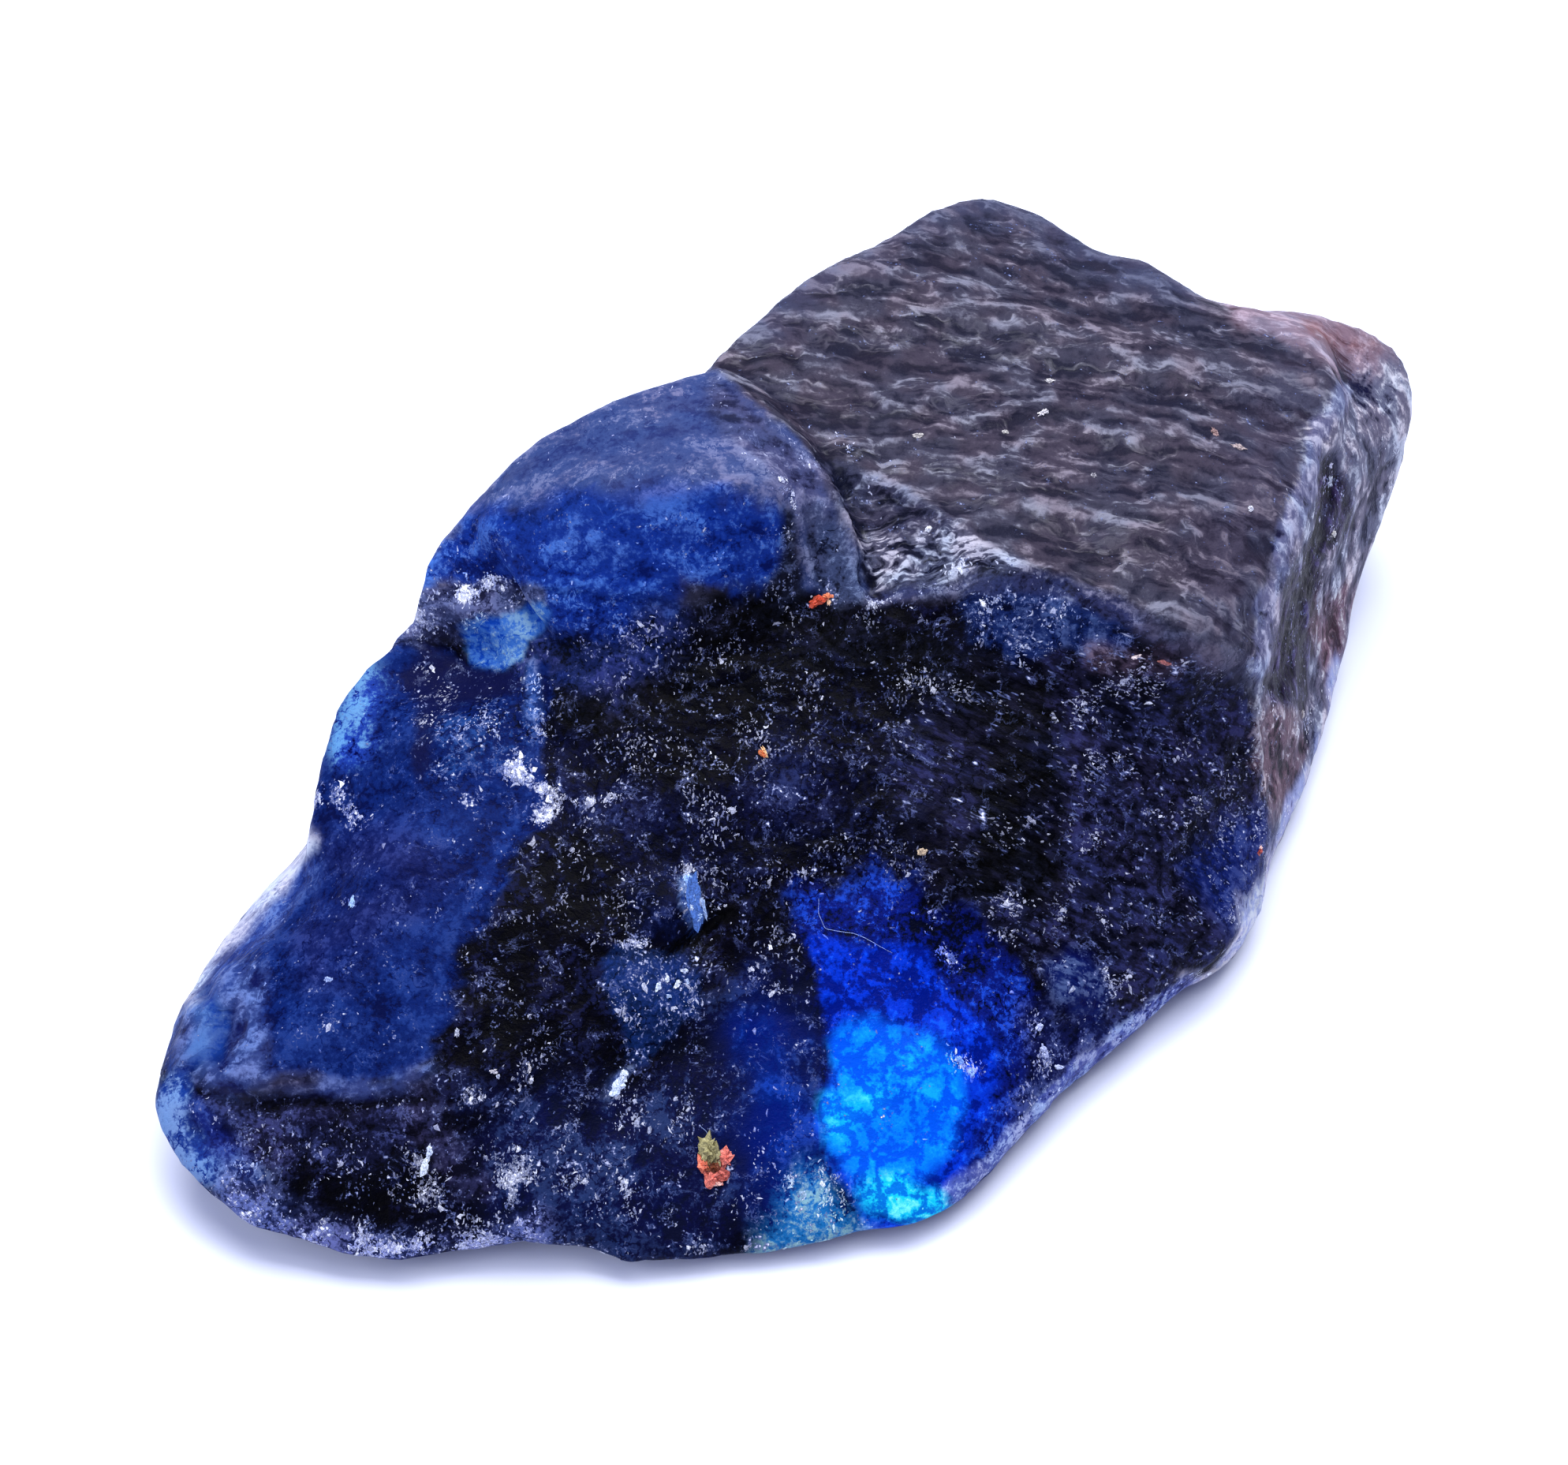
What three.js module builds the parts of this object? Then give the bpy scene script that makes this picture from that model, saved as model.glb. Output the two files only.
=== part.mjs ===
// A rough sapphire, as found: one loose stone with a dark slab top, a blue dome on its
// left, a dark sloping front, a low shelf at the left tip and a broken right end.
// Millimetres, +Z up, resting on its flat underside at Z = 0.

import * as THREE from 'three';
import { ConvexHull } from 'three/addons/math/ConvexHull.js';
import { ImprovedNoise } from 'three/addons/math/ImprovedNoise.js';

// Driving dimensions.

const stoneLength = 59.2; // left tip to right end, along X
const edgeSpacing = 0.95; // distance between mesh points along the edge lines
const fillSpacing = 1.4; // longest triangle side allowed on the faces
const fillGap = 0.88; // free space kept round every fill point
const undersideSpacing = 9; // the same two for the flat underside
const undersideGap = 5;
const fillRounds = 6; // most times the long sides are split
const mergeDistance = 0.6; // mesh points closer than this become one
const rimWallDrop = 1.6; // the back wall falls this far before it may lean out
const stoneHeart = new THREE.Vector3(-1.6, -1, 9); // every face can be seen from here
const heartStretch = new THREE.Vector3(1, 0.85, 0.6); // evens out the flat shape

// Softening of the faces: each round pulls the points in and lets them out again, so that
// bumps go but the fullness of the stone stays. Edge points take a smaller share.
const softenRounds = 10;
const softenIn = 0.5;
const softenOut = 0.51;
const softenOnEdges = 0.4;
const lowestSide = 0.25; // the sides stay at least this high over the table

// Natural unevenness of the faces: wavelength and height of two layers of relief.
const relief = [
  { wavelength: 7.5, height: 0.42 },
  { wavelength: 3.2, height: 0.2 },
];
const reliefOnEdges = 0.35; // share of it that reaches the edge lines
const reliefFadeHeight = 2; // the relief fades out this close to the underside

// Broad waves across the dark top slab: they slant by drift, wander by a soft noise, and
// fade in over a range of height above the table and of how far the face looks up.
const slabWave = {
  wavelength: 5.2,
  height: 0.13,
  drift: 0.16,
  wander: 9,
  fromHeight: 15,
  fullHeight: 17,
  fromFacing: 0.75,
  fullFacing: 0.95,
};

// Edge lines and face points of the stone.
// Each line follows one real edge, rim or crease; the corners are [x, y, z].

const edgeLines = {
  // rim of the dark top slab, from the dome round the back peak to the small saddle
  backRim: [
    [-4.9, 11.1, 20.3], [-3.4, 13.4, 20.4], [-1.4, 15.8, 20.3], [1.4, 18.7, 20],
    [3.5, 20.5, 19.7], [5.3, 23, 19.2], [7.8, 24.4, 18.6], [10.1, 24.3, 18.1],
    [12.2, 23.4, 17.6], [13.8, 21.9, 17.1],
  ],
  // rim from the saddle to where the rusty corner starts
  backRimRight: [
    [13.8, 21.9, 17.1], [15.8, 21.6, 17], [17.6, 20.6, 16.6], [18.8, 19.9, 15.8],
  ],
  // rim of the low rusty corner
  rustRim: [
    [18.8, 19.9, 15.8], [22.1, 20.6, 14.6], [25.3, 21.5, 13.2], [27, 21.8, 12.2],
    [29.1, 21.5, 10.6], [29.6, 19.9, 8.4],
  ],
  // outer rim of the broken right end, running down to the foot
  endRim: [
    [29.6, 19.9, 8.4], [29.1, 17.8, 5.8], [27.7, 15.1, 3.8], [26.5, 12.2, 2.6],
    [25.6, 7.9, 1.9], [24, 3, 1.5], [22.5, -0.6, 1.3], [21, -4.1, 1.3], [20.4, -6.7, 1.3],
  ],
  // thin right edge of the front face, close to the table
  rightFoot: [
    [20.4, -6.7, 1.3], [19.1, -8.9, 1.1], [17.2, -9.9, 1], [13.1, -14, 1], [9.3, -18.1, 1],
    [7.1, -21.2, 1.1],
  ],
  // front edge under the glowing patch and on to the notch
  frontFoot: [
    [7.1, -21.2, 1.1], [5.6, -22.7, 1.4], [4, -23.6, 1.6], [2.3, -23.7, 1.8],
    [0.8, -24.3, 1.5], [-1.1, -24.8, 1.3], [-4.9, -25.3, 1.3], [-8.5, -25.5, 1.5],
  ],
  // front edge round the shallow notch
  notchFoot: [
    [-8.5, -25.5, 1.5], [-10.1, -24.8, 1.9], [-11.6, -24.6, 2.8], [-13.3, -24.6, 2.8],
    [-15, -24.8, 2], [-16.6, -25.2, 1.6],
  ],
  // front edge round the low left tip
  leftFoot: [
    [-16.6, -25.2, 1.6], [-19.1, -25.5, 1.6], [-21.1, -25.3, 1.8], [-23.2, -24.9, 2.2],
    [-25.6, -24.1, 2.6], [-27.6, -22.7, 3.2], [-28.9, -21.1, 3.7], [-29.6, -19, 4.2],
  ],
  // rounded outer rim of the low shelf on the left
  shelfRim: [
    [-29.6, -19, 4.2], [-29.3, -16.8, 4.4], [-28.6, -13.4, 4.7], [-27.6, -11.1, 4.8],
    [-25.6, -7.9, 4.8], [-23.9, -5.4, 4.8],
  ],
  // left rim of the stone, from the shelf up to the ledge
  leftRim: [
    [-23, -8.5, 9], [-22.8, -7.2, 10.2], [-22.3, -3.9, 11.2], [-21, -0.6, 12.2],
    [-19, 0.8, 13.4], [-18.4, 1.5, 14.6],
  ],
  // back rim of the blue dome
  domeRim: [
    [-18.4, 1.5, 14.6], [-17.7, 2.8, 16], [-16.1, 4.3, 17.6], [-14.2, 5.7, 19.2],
    [-12.3, 6.6, 20.4], [-9.8, 7.6, 21.2], [-7.1, 8.6, 21.6], [-5, 9.6, 21.4],
  ],
  // pale crest where the dome stands over the top slab
  domeCrest: [
    [-5, 9.6, 21.4], [-3.4, 8.4, 21.6], [-1.7, 6.7, 21.4], [0, 4.5, 20.7], [1.2, 2.4, 19.9],
    [1.8, 0.8, 18.9], [1.9, 0.1, 17.9],
  ],
  // crease under that crest
  domeCrease: [
    [-4.6, 11.1, 20.2], [-2.9, 10, 20.2], [-1.3, 8.2, 20], [0.3, 5.8, 19.6], [1.5, 3.6, 18.7],
    [2.3, 1.8, 17.7], [2.6, 0.2, 16.5],
  ],
  // break between the slate skin of the dome and its blue front
  domeBreak: [
    [-15.2, 2.7, 18.2], [-13.8, 2.9, 19.4], [-12, 2.5, 20.4], [-9.5, 1.9, 21.3],
    [-5.6, 1.5, 21.9], [-2.8, 1.8, 21.8], [-0.9, 2.2, 20.9],
  ],
  // second thin ridge down the right flank of the dome
  domeFlank: [
    [-4, 4.4, 22.2], [-2.3, 2.9, 21.9], [-0.9, 2.2, 20.9], [-0.7, 1.2, 18.9],
    [-0.1, 0.5, 16.8],
  ],
  // foot of the blue front of the dome
  domeToe: [
    [-12, -0.7, 14.9], [-9.9, -2.7, 14.6], [-6.7, -2.8, 14.8], [-3.5, -1.5, 15.3],
    [-0.1, 0.1, 16.2], [2.4, 0.1, 16.3],
  ],
  // edge of the small bright ledge at the foot of the dome
  ledge: [
    [-18.5, 1.2, 13.6], [-16.6, 0.7, 14.8], [-14.3, 1, 15.7], [-12.5, 0.7, 15.7],
    [-12, -0.7, 14.9],
  ],
  // thin ridge between the top slab and the rippled hollow
  hollowRidge: [
    [0.3, 5.8, 19.6], [2.5, 4.6, 19.7], [4.1, 3.6, 19.6], [7.1, 0.8, 19.3], [10.2, -0.5, 18.8],
  ],
  // lip above the dark front face
  frontLip: [
    [2.4, 0, 16.5], [5, -0.5, 17.2], [7.9, -0.7, 17.9], [11, -0.7, 17.9], [13.6, -0.9, 17.5],
    [16.3, -1.6, 16.5], [18.6, -1.4, 14.6], [19.8, -0.7, 12.4],
  ],
  // edge between the top slab and the rusty corner
  rustEdge: [
    [18.8, 19.9, 15.8], [21.7, 18.2, 16], [23.7, 16.4, 16], [24.5, 14.6, 15.8],
  ],
  // bevelled ridge along the top of the broken end
  endRidge: [
    [24.5, 14.6, 15.8], [23.3, 11.8, 15.9], [22.2, 7.9, 15.9], [20.9, 4, 15.3],
    [20.2, 1.5, 13.8], [19.7, -0.7, 12.4], [20.1, -1.8, 9.8], [20.6, -3, 7.3],
    [20.9, -4.1, 5.2],
  ],
  // lower edge of that bevel
  endBevel: [
    [24.9, 14.3, 15.2], [24.3, 11.7, 14.7], [23.1, 8, 14.2], [22.2, 5.2, 13.2],
    [21.3, 2.9, 11.6], [20.8, 0.6, 10.4],
  ],
  // bottom of the long groove in the broken end
  endGroove: [
    [25.3, 13.5, 12.8], [24.6, 10.7, 11.4], [23.8, 8.2, 9.6], [22.9, 5.1, 8.6],
    [22.3, 2.4, 7.2],
  ],
  // upper edge of the thin right rim
  footEdge: [
    [20.9, -4.1, 5.2], [19.7, -7.1, 4.2], [19, -9.3, 3.7], [16.7, -11, 3.3], [14.4, -13.2, 3],
    [11.1, -16.6, 2.7], [7.3, -21, 2.3], [5.7, -22.5, 1.9],
  ],
  // blunt ridge between the blue left flank and the dark front
  leftRidge: [
    [-12, -0.7, 14.9], [-12.3, -4, 13.5], [-12.7, -7.6, 12.3], [-14, -10.8, 11.3],
    [-15.3, -13.6, 10.4], [-16.1, -16.7, 9], [-17, -19, 8], [-18.6, -20.5, 7.3],
  ],
  // fold over the dark hollow of the shelf
  shelfFold: [
    [-27.5, -19.6, 5.9], [-24.6, -20, 6.1], [-21.2, -20.6, 6.4], [-18.6, -20.5, 7.3],
  ],
  // inner edge of the rounded shelf rim
  shelfEdge: [
    [-23.1, -8.6, 8.4], [-23.4, -9.6, 7.6], [-25.3, -12.2, 7], [-27.2, -14.8, 6.6],
    [-28.5, -17.5, 5.7],
  ],
  // shoulder of the back, between the rims and the widest line
  backShoulder: [
    [-19.4, 1.8, 11], [-14, 7.6, 15.5], [-8, 11.6, 16.6], [-1, 17.6, 17], [5, 23, 16.4],
    [10, 25.4, 15.2], [15, 23.8, 13.8], [20, 22, 12.4], [26, 22.4, 10.2],
  ],
  // widest line of the back
  backBelly: [
    [-28.4, -13.8, 3], [-25.2, -7.8, 3.4], [-22.4, -3.4, 5.5], [-20.4, 1, 8],
    [-17, 5.6, 10.2], [-11, 12.6, 12], [-3.6, 18.4, 12.5], [3.9, 24, 12], [10.9, 26.4, 11],
    [17.4, 25.6, 9.6], [23.4, 24, 8], [27.8, 21.6, 7.2],
  ],
  // line low on the back, where it turns under
  lowBack: [
    [-27.8, -14.6, 1.4], [-24.6, -8, 1.6], [-21.2, -1.4, 2.4], [-16.1, 5.6, 3.4],
    [-8.6, 13, 3.8], [-1.1, 18.6, 3.8], [6.4, 23.6, 3.4], [12.4, 24.4, 3], [18.4, 23.2, 2.8],
    [24, 20.4, 2.8],
  ],
};

// Rims whose far side drops away as a wall.
const walledRims = ['backRim', 'backRimRight'];

// Rim of the flat underside, a closed loop on the table.
const underside = [
  [20.9, 15.5], [22.4, 9], [20, 1], [13.4, -8], [5.4, -18], [-1.6, -22.3], [-13.6, -22.8],
  [-21.6, -20.5], [-25.2, -14.5], [-22.1, -6], [-16.1, 3], [-6.6, 13], [6.4, 21.2],
  [15.4, 21.2],
];

const facePoints = {
  topSlab: [
    [20.2, 14.1, 17], [14.5, 13.8, 18.3], [9, 15.6, 19.1], [3.4, 13.9, 19.8], [-0.7, 10.6, 20],
    [5.1, 7.9, 19.6], [13, 6.3, 18.7], [18.1, 5.1, 17.3], [9.3, 3.4, 19.1], [15, 1.6, 17.9],
  ],
  dome: [
    [-6.7, 4.6, 22.2], [-10.6, 4.3, 21.3], [-14.2, 0.8, 17.2], [-10.6, -0.3, 18.2],
    [-5.6, -0.7, 18.6], [-2.3, 0.4, 17.4], [0.7, 0.8, 18.9],
  ],
  leftFlank: [
    [-15.8, -0.4, 12.4], [-14, -0.2, 13], [-17.7, -4.9, 13], [-18.5, -10.6, 11.6],
    [-20.9, -15.1, 9.4], [-21.4, -18.7, 7.9], [-14.8, -6.3, 13], [-16.7, -14.6, 10],
  ],
  shelf: [
    [-26.2, -17.3, 6.5], [-24.3, -21.4, 4.9], [-20.4, -21.6, 5.4], [-17, -21.9, 6.5],
    [-20.8, -23.6, 3.5], [-24.9, -23, 3.9], [-14.5, -22.9, 4.4],
  ],
  darkFront: [
    [4.3, -3.8, 14.4], [-1, -7, 12.7], [-6.3, -6.8, 13], [10, -4.3, 13.9], [15.4, -3.9, 11.8],
    [9.2, -8.3, 11], [14.7, -8.4, 8.2], [2.8, -10.7, 10], [-4.9, -11.7, 10.2],
    [-10.4, -13.8, 10], [8.5, -12.7, 7.4], [14.4, -11.2, 5.4], [2.1, -16.2, 6.8],
    [-5.6, -17.5, 6.8], [-11.8, -19, 7.2], [7.1, -17, 4.9], [3.8, -20.5, 3.8],
    [-2.1, -21.1, 4.2], [-8.3, -22.4, 4.2],
  ],
  brokenEnd: [
    [27.1, 15.8, 10.4], [26.1, 13.2, 7.6], [24.8, 9.3, 5], [23.8, 5.3, 3.8], [22.8, 1.8, 3.2],
  ],
};

// Chips and knobs on the dark front: where, how wide, and how far out (or in, when negative).
const knobs = [
  { at: [-6.1, -12.5, 10.1], radius: 1.9, rise: 0.45 }, // pale chip
  { at: [-5.4, -13.4, 9.1], radius: 1.4, rise: -0.7 }, // dark crevice below the chip
  { at: [-7.3, -16.1, 8.2], radius: 3, rise: 0.6 }, // raised grey-blue patch
  { at: [11.4, -13.4, 5.4], radius: 2.4, rise: 0.6 }, // rounded knob by the right edge
  { at: [3.9, -18.2, 5.5], radius: 4.5, rise: 0.5 }, // swelling of the glowing patch
  { at: [-26.5, -17, 6.1], radius: 2.2, rise: -0.4 }, // pitted dip on the shelf
];

// Points of the stone.

const points = [];

// Adds a point unless another one is already there.
function addPoint(position, onEdge, gap = mergeDistance) {
  const taken = points.some((other) => other.position.distanceTo(position) < gap);
  if (!taken) {
    points.push({ position, onEdge, onTable: position.z === 0 });
  }
}

// Lays evenly spaced points along a smooth curve through the corners.
function addLine(corners, drop = 0, closed = false) {
  const nodes = corners.map(([x, y, z]) => new THREE.Vector3(x, y, z - drop));
  const curve = new THREE.CatmullRomCurve3(nodes, closed, 'centripetal');
  const count = Math.round(curve.getLength() / edgeSpacing);
  for (const position of curve.getSpacedPoints(count)) {
    addPoint(position, true);
  }
}

for (const corners of Object.values(edgeLines)) {
  addLine(corners);
}
for (const name of walledRims) {
  addLine(edgeLines[name], rimWallDrop);
}
addLine(underside.map(([x, y]) => [x, y, 0]), 0, true);

for (const corners of Object.values(facePoints)) {
  for (const [x, y, z] of corners) {
    addPoint(new THREE.Vector3(x, y, z), false);
  }
}

// Triangles.

// Joins the points into triangles. Seen from the heart of the stone every point lies in its
// own direction, so the hull of those directions gives the neighbours of each point.
function joinPoints() {
  const indexOf = new Map();
  const directions = points.map(({ position }, index) => {
    const direction = position.clone().sub(stoneHeart).divide(heartStretch).normalize();
    indexOf.set(direction, index);
    return direction;
  });
  const hull = new ConvexHull().setFromPoints(directions);
  const triangles = [];
  for (const face of hull.faces) {
    const first = face.edge;
    triangles.push([first, first.next, first.prev].map((edge) => indexOf.get(edge.head().point)));
  }
  return triangles;
}

// Calls visit(a, b) once for every side of the triangles.
function forEachSide(triangles, visit) {
  const seen = new Set();
  for (const triangle of triangles) {
    triangle.forEach((start, corner) => {
      const end = triangle[(corner + 1) % 3];
      const key = Math.min(start, end) * points.length + Math.max(start, end);
      if (!seen.has(key)) {
        seen.add(key);
        visit(start, end);
      }
    });
  }
}

// Splits the sides that are too long by adding their middles, then joins again.
let triangles = joinPoints();
for (let round = 0; round < fillRounds; round += 1) {
  const middles = [];
  forEachSide(triangles, (start, end) => {
    const a = points[start].position;
    const b = points[end].position;
    const length = a.distanceTo(b);
    const onTable = points[start].onTable && points[end].onTable;
    if (length > (onTable ? undersideSpacing : fillSpacing)) {
      const gap = onTable ? undersideGap : fillGap;
      middles.push({ length, gap, position: a.clone().add(b).multiplyScalar(0.5) });
    }
  });
  middles.sort((a, b) => b.length - a.length);
  const before = points.length;
  for (const { position, gap } of middles) {
    addPoint(position, false, gap);
  }
  if (points.length === before) {
    break;
  }
  triangles = joinPoints();
}

// Softened faces and natural relief.

const neighbours = points.map(() => []);
forEachSide(triangles, (a, b) => {
  neighbours[a].push(b);
  neighbours[b].push(a);
});

// Moves every point a share of the way towards the middle of its neighbours.
function pullTogether(share) {
  const moved = points.map(({ position, onEdge, onTable }, index) => {
    const middle = new THREE.Vector3();
    neighbours[index].forEach((other) => middle.add(points[other].position));
    middle.divideScalar(neighbours[index].length);
    const next = position.clone().lerp(middle, onEdge ? share * softenOnEdges : share);
    next.z = onTable ? 0 : Math.max(next.z, lowestSide);
    return next;
  });
  moved.forEach((position, index) => {
    points[index].position = position;
  });
}

for (let round = 0; round < softenRounds; round += 1) {
  pullTogether(softenIn);
  pullTogether(-softenOut);
}

// Outward direction at every point, from the triangles round it.
function outwardDirections() {
  const normals = points.map(() => new THREE.Vector3());
  for (const corners of triangles) {
    const [a, b, c] = corners.map((index) => points[index].position);
    const normal = b.clone().sub(a).cross(c.clone().sub(a));
    corners.forEach((index) => normals[index].add(normal));
  }
  return normals.map((normal) => normal.normalize());
}

const noise = new ImprovedNoise();

// Height of the layered relief at a place on the stone.
function reliefAt({ x, y, z }) {
  return relief.reduce((sum, { wavelength, height }) => (
    sum + height * noise.noise(x / wavelength, y / wavelength, z / wavelength)
  ), 0);
}

// Height of the broad waves, on faces that look up and lie high on the stone.
function slabWaveAt({ x, y, z }, normal) {
  const { wavelength, height, drift, wander, fromHeight, fullHeight, fromFacing, fullFacing } =
    slabWave;
  const share = THREE.MathUtils.smoothstep(normal.z, fromFacing, fullFacing)
    * THREE.MathUtils.smoothstep(z, fromHeight, fullHeight);
  const phase = (y + drift * x + noise.noise(x / wander, y / wander, 0)) / wavelength;
  return share * height * Math.sin(2 * Math.PI * phase);
}

// Rise of the chips and knobs: a smooth hump that ends at its radius.
function knobsAt(position) {
  return knobs.reduce((sum, { at, radius, rise }) => {
    const nearness = 1 - position.distanceTo(new THREE.Vector3(...at)) / radius;
    return sum + rise * THREE.MathUtils.smoothstep(nearness, 0, 1);
  }, 0);
}

const outward = outwardDirections();
points.forEach(({ position, onEdge }, index) => {
  const fade = THREE.MathUtils.smoothstep(position.z, 0, reliefFadeHeight);
  const share = onEdge ? reliefOnEdges : 1;
  const lift = share * (reliefAt(position) + slabWaveAt(position, outward[index]));
  position.addScaledVector(outward[index], fade * (lift + knobsAt(position)));
});

// The solid.

const geometry = new THREE.BufferGeometry();
const bounds = new THREE.Box3().setFromPoints(points.map(({ position }) => position));
const middle = bounds.getCenter(new THREE.Vector3());
const scale = stoneLength / (bounds.max.x - bounds.min.x);
const positions = points.flatMap(({ position }) => [
  (position.x - middle.x) * scale,
  (position.y - middle.y) * scale,
  (position.z - bounds.min.z) * scale,
]);
geometry.setAttribute('position', new THREE.Float32BufferAttribute(positions, 3));
geometry.setIndex(triangles.flat());
geometry.computeVertexNormals();

const sapphireMaterial = new THREE.MeshStandardMaterial({
  color: 0x1b2350,
  roughness: 0.45,
  metalness: 0,
  flatShading: true,
});

const stone = new THREE.Mesh(geometry, sapphireMaterial);
stone.name = 'rough_sapphire';

const group = new THREE.Group();
group.name = 'rough_sapphire_stone';
group.add(stone);

export default group;
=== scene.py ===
import math
from types import SimpleNamespace

import bpy
import numpy as np
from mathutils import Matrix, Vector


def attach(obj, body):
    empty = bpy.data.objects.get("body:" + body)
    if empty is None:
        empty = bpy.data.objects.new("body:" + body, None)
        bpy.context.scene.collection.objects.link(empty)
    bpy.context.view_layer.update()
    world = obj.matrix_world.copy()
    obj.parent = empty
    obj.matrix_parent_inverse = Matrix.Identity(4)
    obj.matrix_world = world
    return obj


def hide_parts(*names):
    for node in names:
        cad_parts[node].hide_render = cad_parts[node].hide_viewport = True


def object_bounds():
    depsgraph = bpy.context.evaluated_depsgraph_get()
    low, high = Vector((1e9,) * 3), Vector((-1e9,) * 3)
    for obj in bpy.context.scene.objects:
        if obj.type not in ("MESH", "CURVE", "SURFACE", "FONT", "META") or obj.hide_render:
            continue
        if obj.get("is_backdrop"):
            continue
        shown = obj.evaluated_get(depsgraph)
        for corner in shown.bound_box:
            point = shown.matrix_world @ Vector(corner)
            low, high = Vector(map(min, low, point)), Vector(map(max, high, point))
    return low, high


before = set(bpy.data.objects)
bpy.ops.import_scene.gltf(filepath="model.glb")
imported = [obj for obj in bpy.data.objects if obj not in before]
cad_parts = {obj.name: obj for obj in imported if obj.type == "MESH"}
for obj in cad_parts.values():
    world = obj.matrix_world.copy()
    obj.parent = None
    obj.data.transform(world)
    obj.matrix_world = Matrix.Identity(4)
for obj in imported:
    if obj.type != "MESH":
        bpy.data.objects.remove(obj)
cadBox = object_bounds()
print("frame loaded")

mm = 0.001

# The camera looks down on the front of the stone. Outlines of the markings below are
# laid on a plane through the aim, square to this view: millimetres right and up of it.
camera = {
    "aim": (-1.63, -1.97, 9.02),  # mm
    "distance": 190.0,  # mm
    "elevation": 50.0,  # degrees above the table
    "lens": 94.27,
}
tilt = math.radians(camera["elevation"])
viewBack = np.array((0.0, -math.cos(tilt), math.sin(tilt)))
viewRight = np.array((1.0, 0.0, 0.0))
viewUp = np.array((0.0, math.sin(tilt), math.cos(tilt)))
eye = np.array(camera["aim"]) + viewBack * camera["distance"]


# A colour on the 0 to 255 scale of a paint picker, made linear: a straight line near
# black, and a power of 2.4 above it.
def tint(colour):
    part = np.array(colour, float) / 255
    return np.where(part <= 0.04045, part / 12.92, ((part + 0.055) / 1.055) ** 2.4)


# Arrows of length one along the rows of an array.
def unit(arrows):
    return arrows / np.linalg.norm(arrows, axis=1, keepdims=True)


# 0 below the low value, 1 above the high one, and the S-shaped 3t^2 - 2t^3 between them.
def smoothStep(low, high, value):
    part = np.clip((value - low) / (high - low), 0, 1)
    return part * part * (3 - 2 * part)


# Random slopes for the corners of a unit lattice.
slopeTable = unit(np.random.default_rng(7).normal(size=(1024, 3)))


# Which slope a corner has: its three numbers and the seed, each times a large number, are
# joined by exclusive or, and the ten lowest bits of that are taken after a second mix.
def latticeHash(cell, seed):
    mixed = cell[:, 0] * 73856093 ^ cell[:, 1] * 19349663 ^ cell[:, 2] * 83492791 ^ seed * 2654435
    mixed = (mixed ^ (mixed >> 13)) * 1274126177
    return (mixed ^ (mixed >> 16)) & 1023


# Gradient noise, about -1 to 1: each corner of a point's lattice cube gives its slope
# times the way from the corner, and a smooth fade blends the eight of them.
def noise(points, seed):
    cell = np.floor(points).astype(np.int64)
    inside = points - cell
    fade = inside**3 * (inside * (inside * 6 - 15) + 10)
    total = np.zeros(len(points))
    for corner in np.ndindex(2, 2, 2):
        step = np.array(corner)
        slope = slopeTable[latticeHash(cell + step, seed)]
        share = np.where(step == 1, fade, 1 - fade).prod(axis=1)
        total += share * ((inside - step) * slope).sum(axis=1)
    return total * 1.5


# A sum of noises, each twice as fine as the one before it and weaker by the gain.
def fractal(points, seed, octaves=4, gain=0.5):
    total, strength = np.zeros(len(points)), 1.0
    for octave in range(octaves):
        total += strength * noise(points * 2.03**octave, seed + octave)
        strength *= gain
    return total


# Sharp crests: one less three times the size of the noise, so a crest runs where the
# noise is zero. A second set is twice as fine and half as high.
def crests(points, seed):
    broad = 1 - 3 * np.abs(noise(points, seed))
    return broad + 0.5 * (1 - 3 * np.abs(noise(points * 2.1, seed + 1)))


# Cell noise: a random centre in every lattice cube. Gives the distance to the nearest
# centre and to the next one, the way to the nearest, and that centre's random mark.
def cellNoise(points, seed):
    cell = np.floor(points).astype(np.int64)
    near = np.full(len(points), 9.0)
    following = np.full(len(points), 9.0)
    way = np.zeros((len(points), 3))
    mark = np.zeros((len(points), 3))
    for corner in np.ndindex(3, 3, 3):
        cube = cell + np.array(corner) - 1
        spot = cube + 0.5 + 0.45 * slopeTable[latticeHash(cube, seed)]
        offset = points - spot
        distance = np.linalg.norm(offset, axis=1)
        closer = distance < near
        following = np.where(closer, near, np.minimum(following, distance))
        near = np.where(closer, distance, near)
        way[closer] = offset[closer]
        mark[closer] = slopeTable[latticeHash(cube[closer], seed + 5)]
    return near, following, way, mark


# Distance from each point to a line of straight stretches: the least of the distances to
# the nearest place on each stretch.
def lineDistance(points, line):
    line = np.array(line, float)
    nearest = np.full(len(points), 1e9)
    for begin, stretch in zip(line[:-1], np.diff(line, axis=0)):
        along = np.clip((points - begin) @ stretch / max(stretch @ stretch, 1e-9), 0, 1)
        gap = np.linalg.norm(points - begin - along[:, None] * stretch, axis=1)
        nearest = np.minimum(nearest, gap)
    return nearest


# Distance to a closed outline, positive inside it. A point is inside when a ray from it
# crosses the outline an odd number of times.
def outlineDistance(points, outline):
    loop = np.array(outline + outline[:1], float)
    inside = np.zeros(len(points), bool)
    for (x0, y0), (x1, y1) in zip(loop[:-1], loop[1:]):
        if y0 != y1:
            crossing = (points[:, 1] < y0) != (points[:, 1] < y1)
            inside ^= crossing & (points[:, 0] < x0 + (points[:, 1] - y0) * (x1 - x0) / (y1 - y0))
    return np.where(inside, 1, -1) * lineDistance(points, loop)


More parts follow.
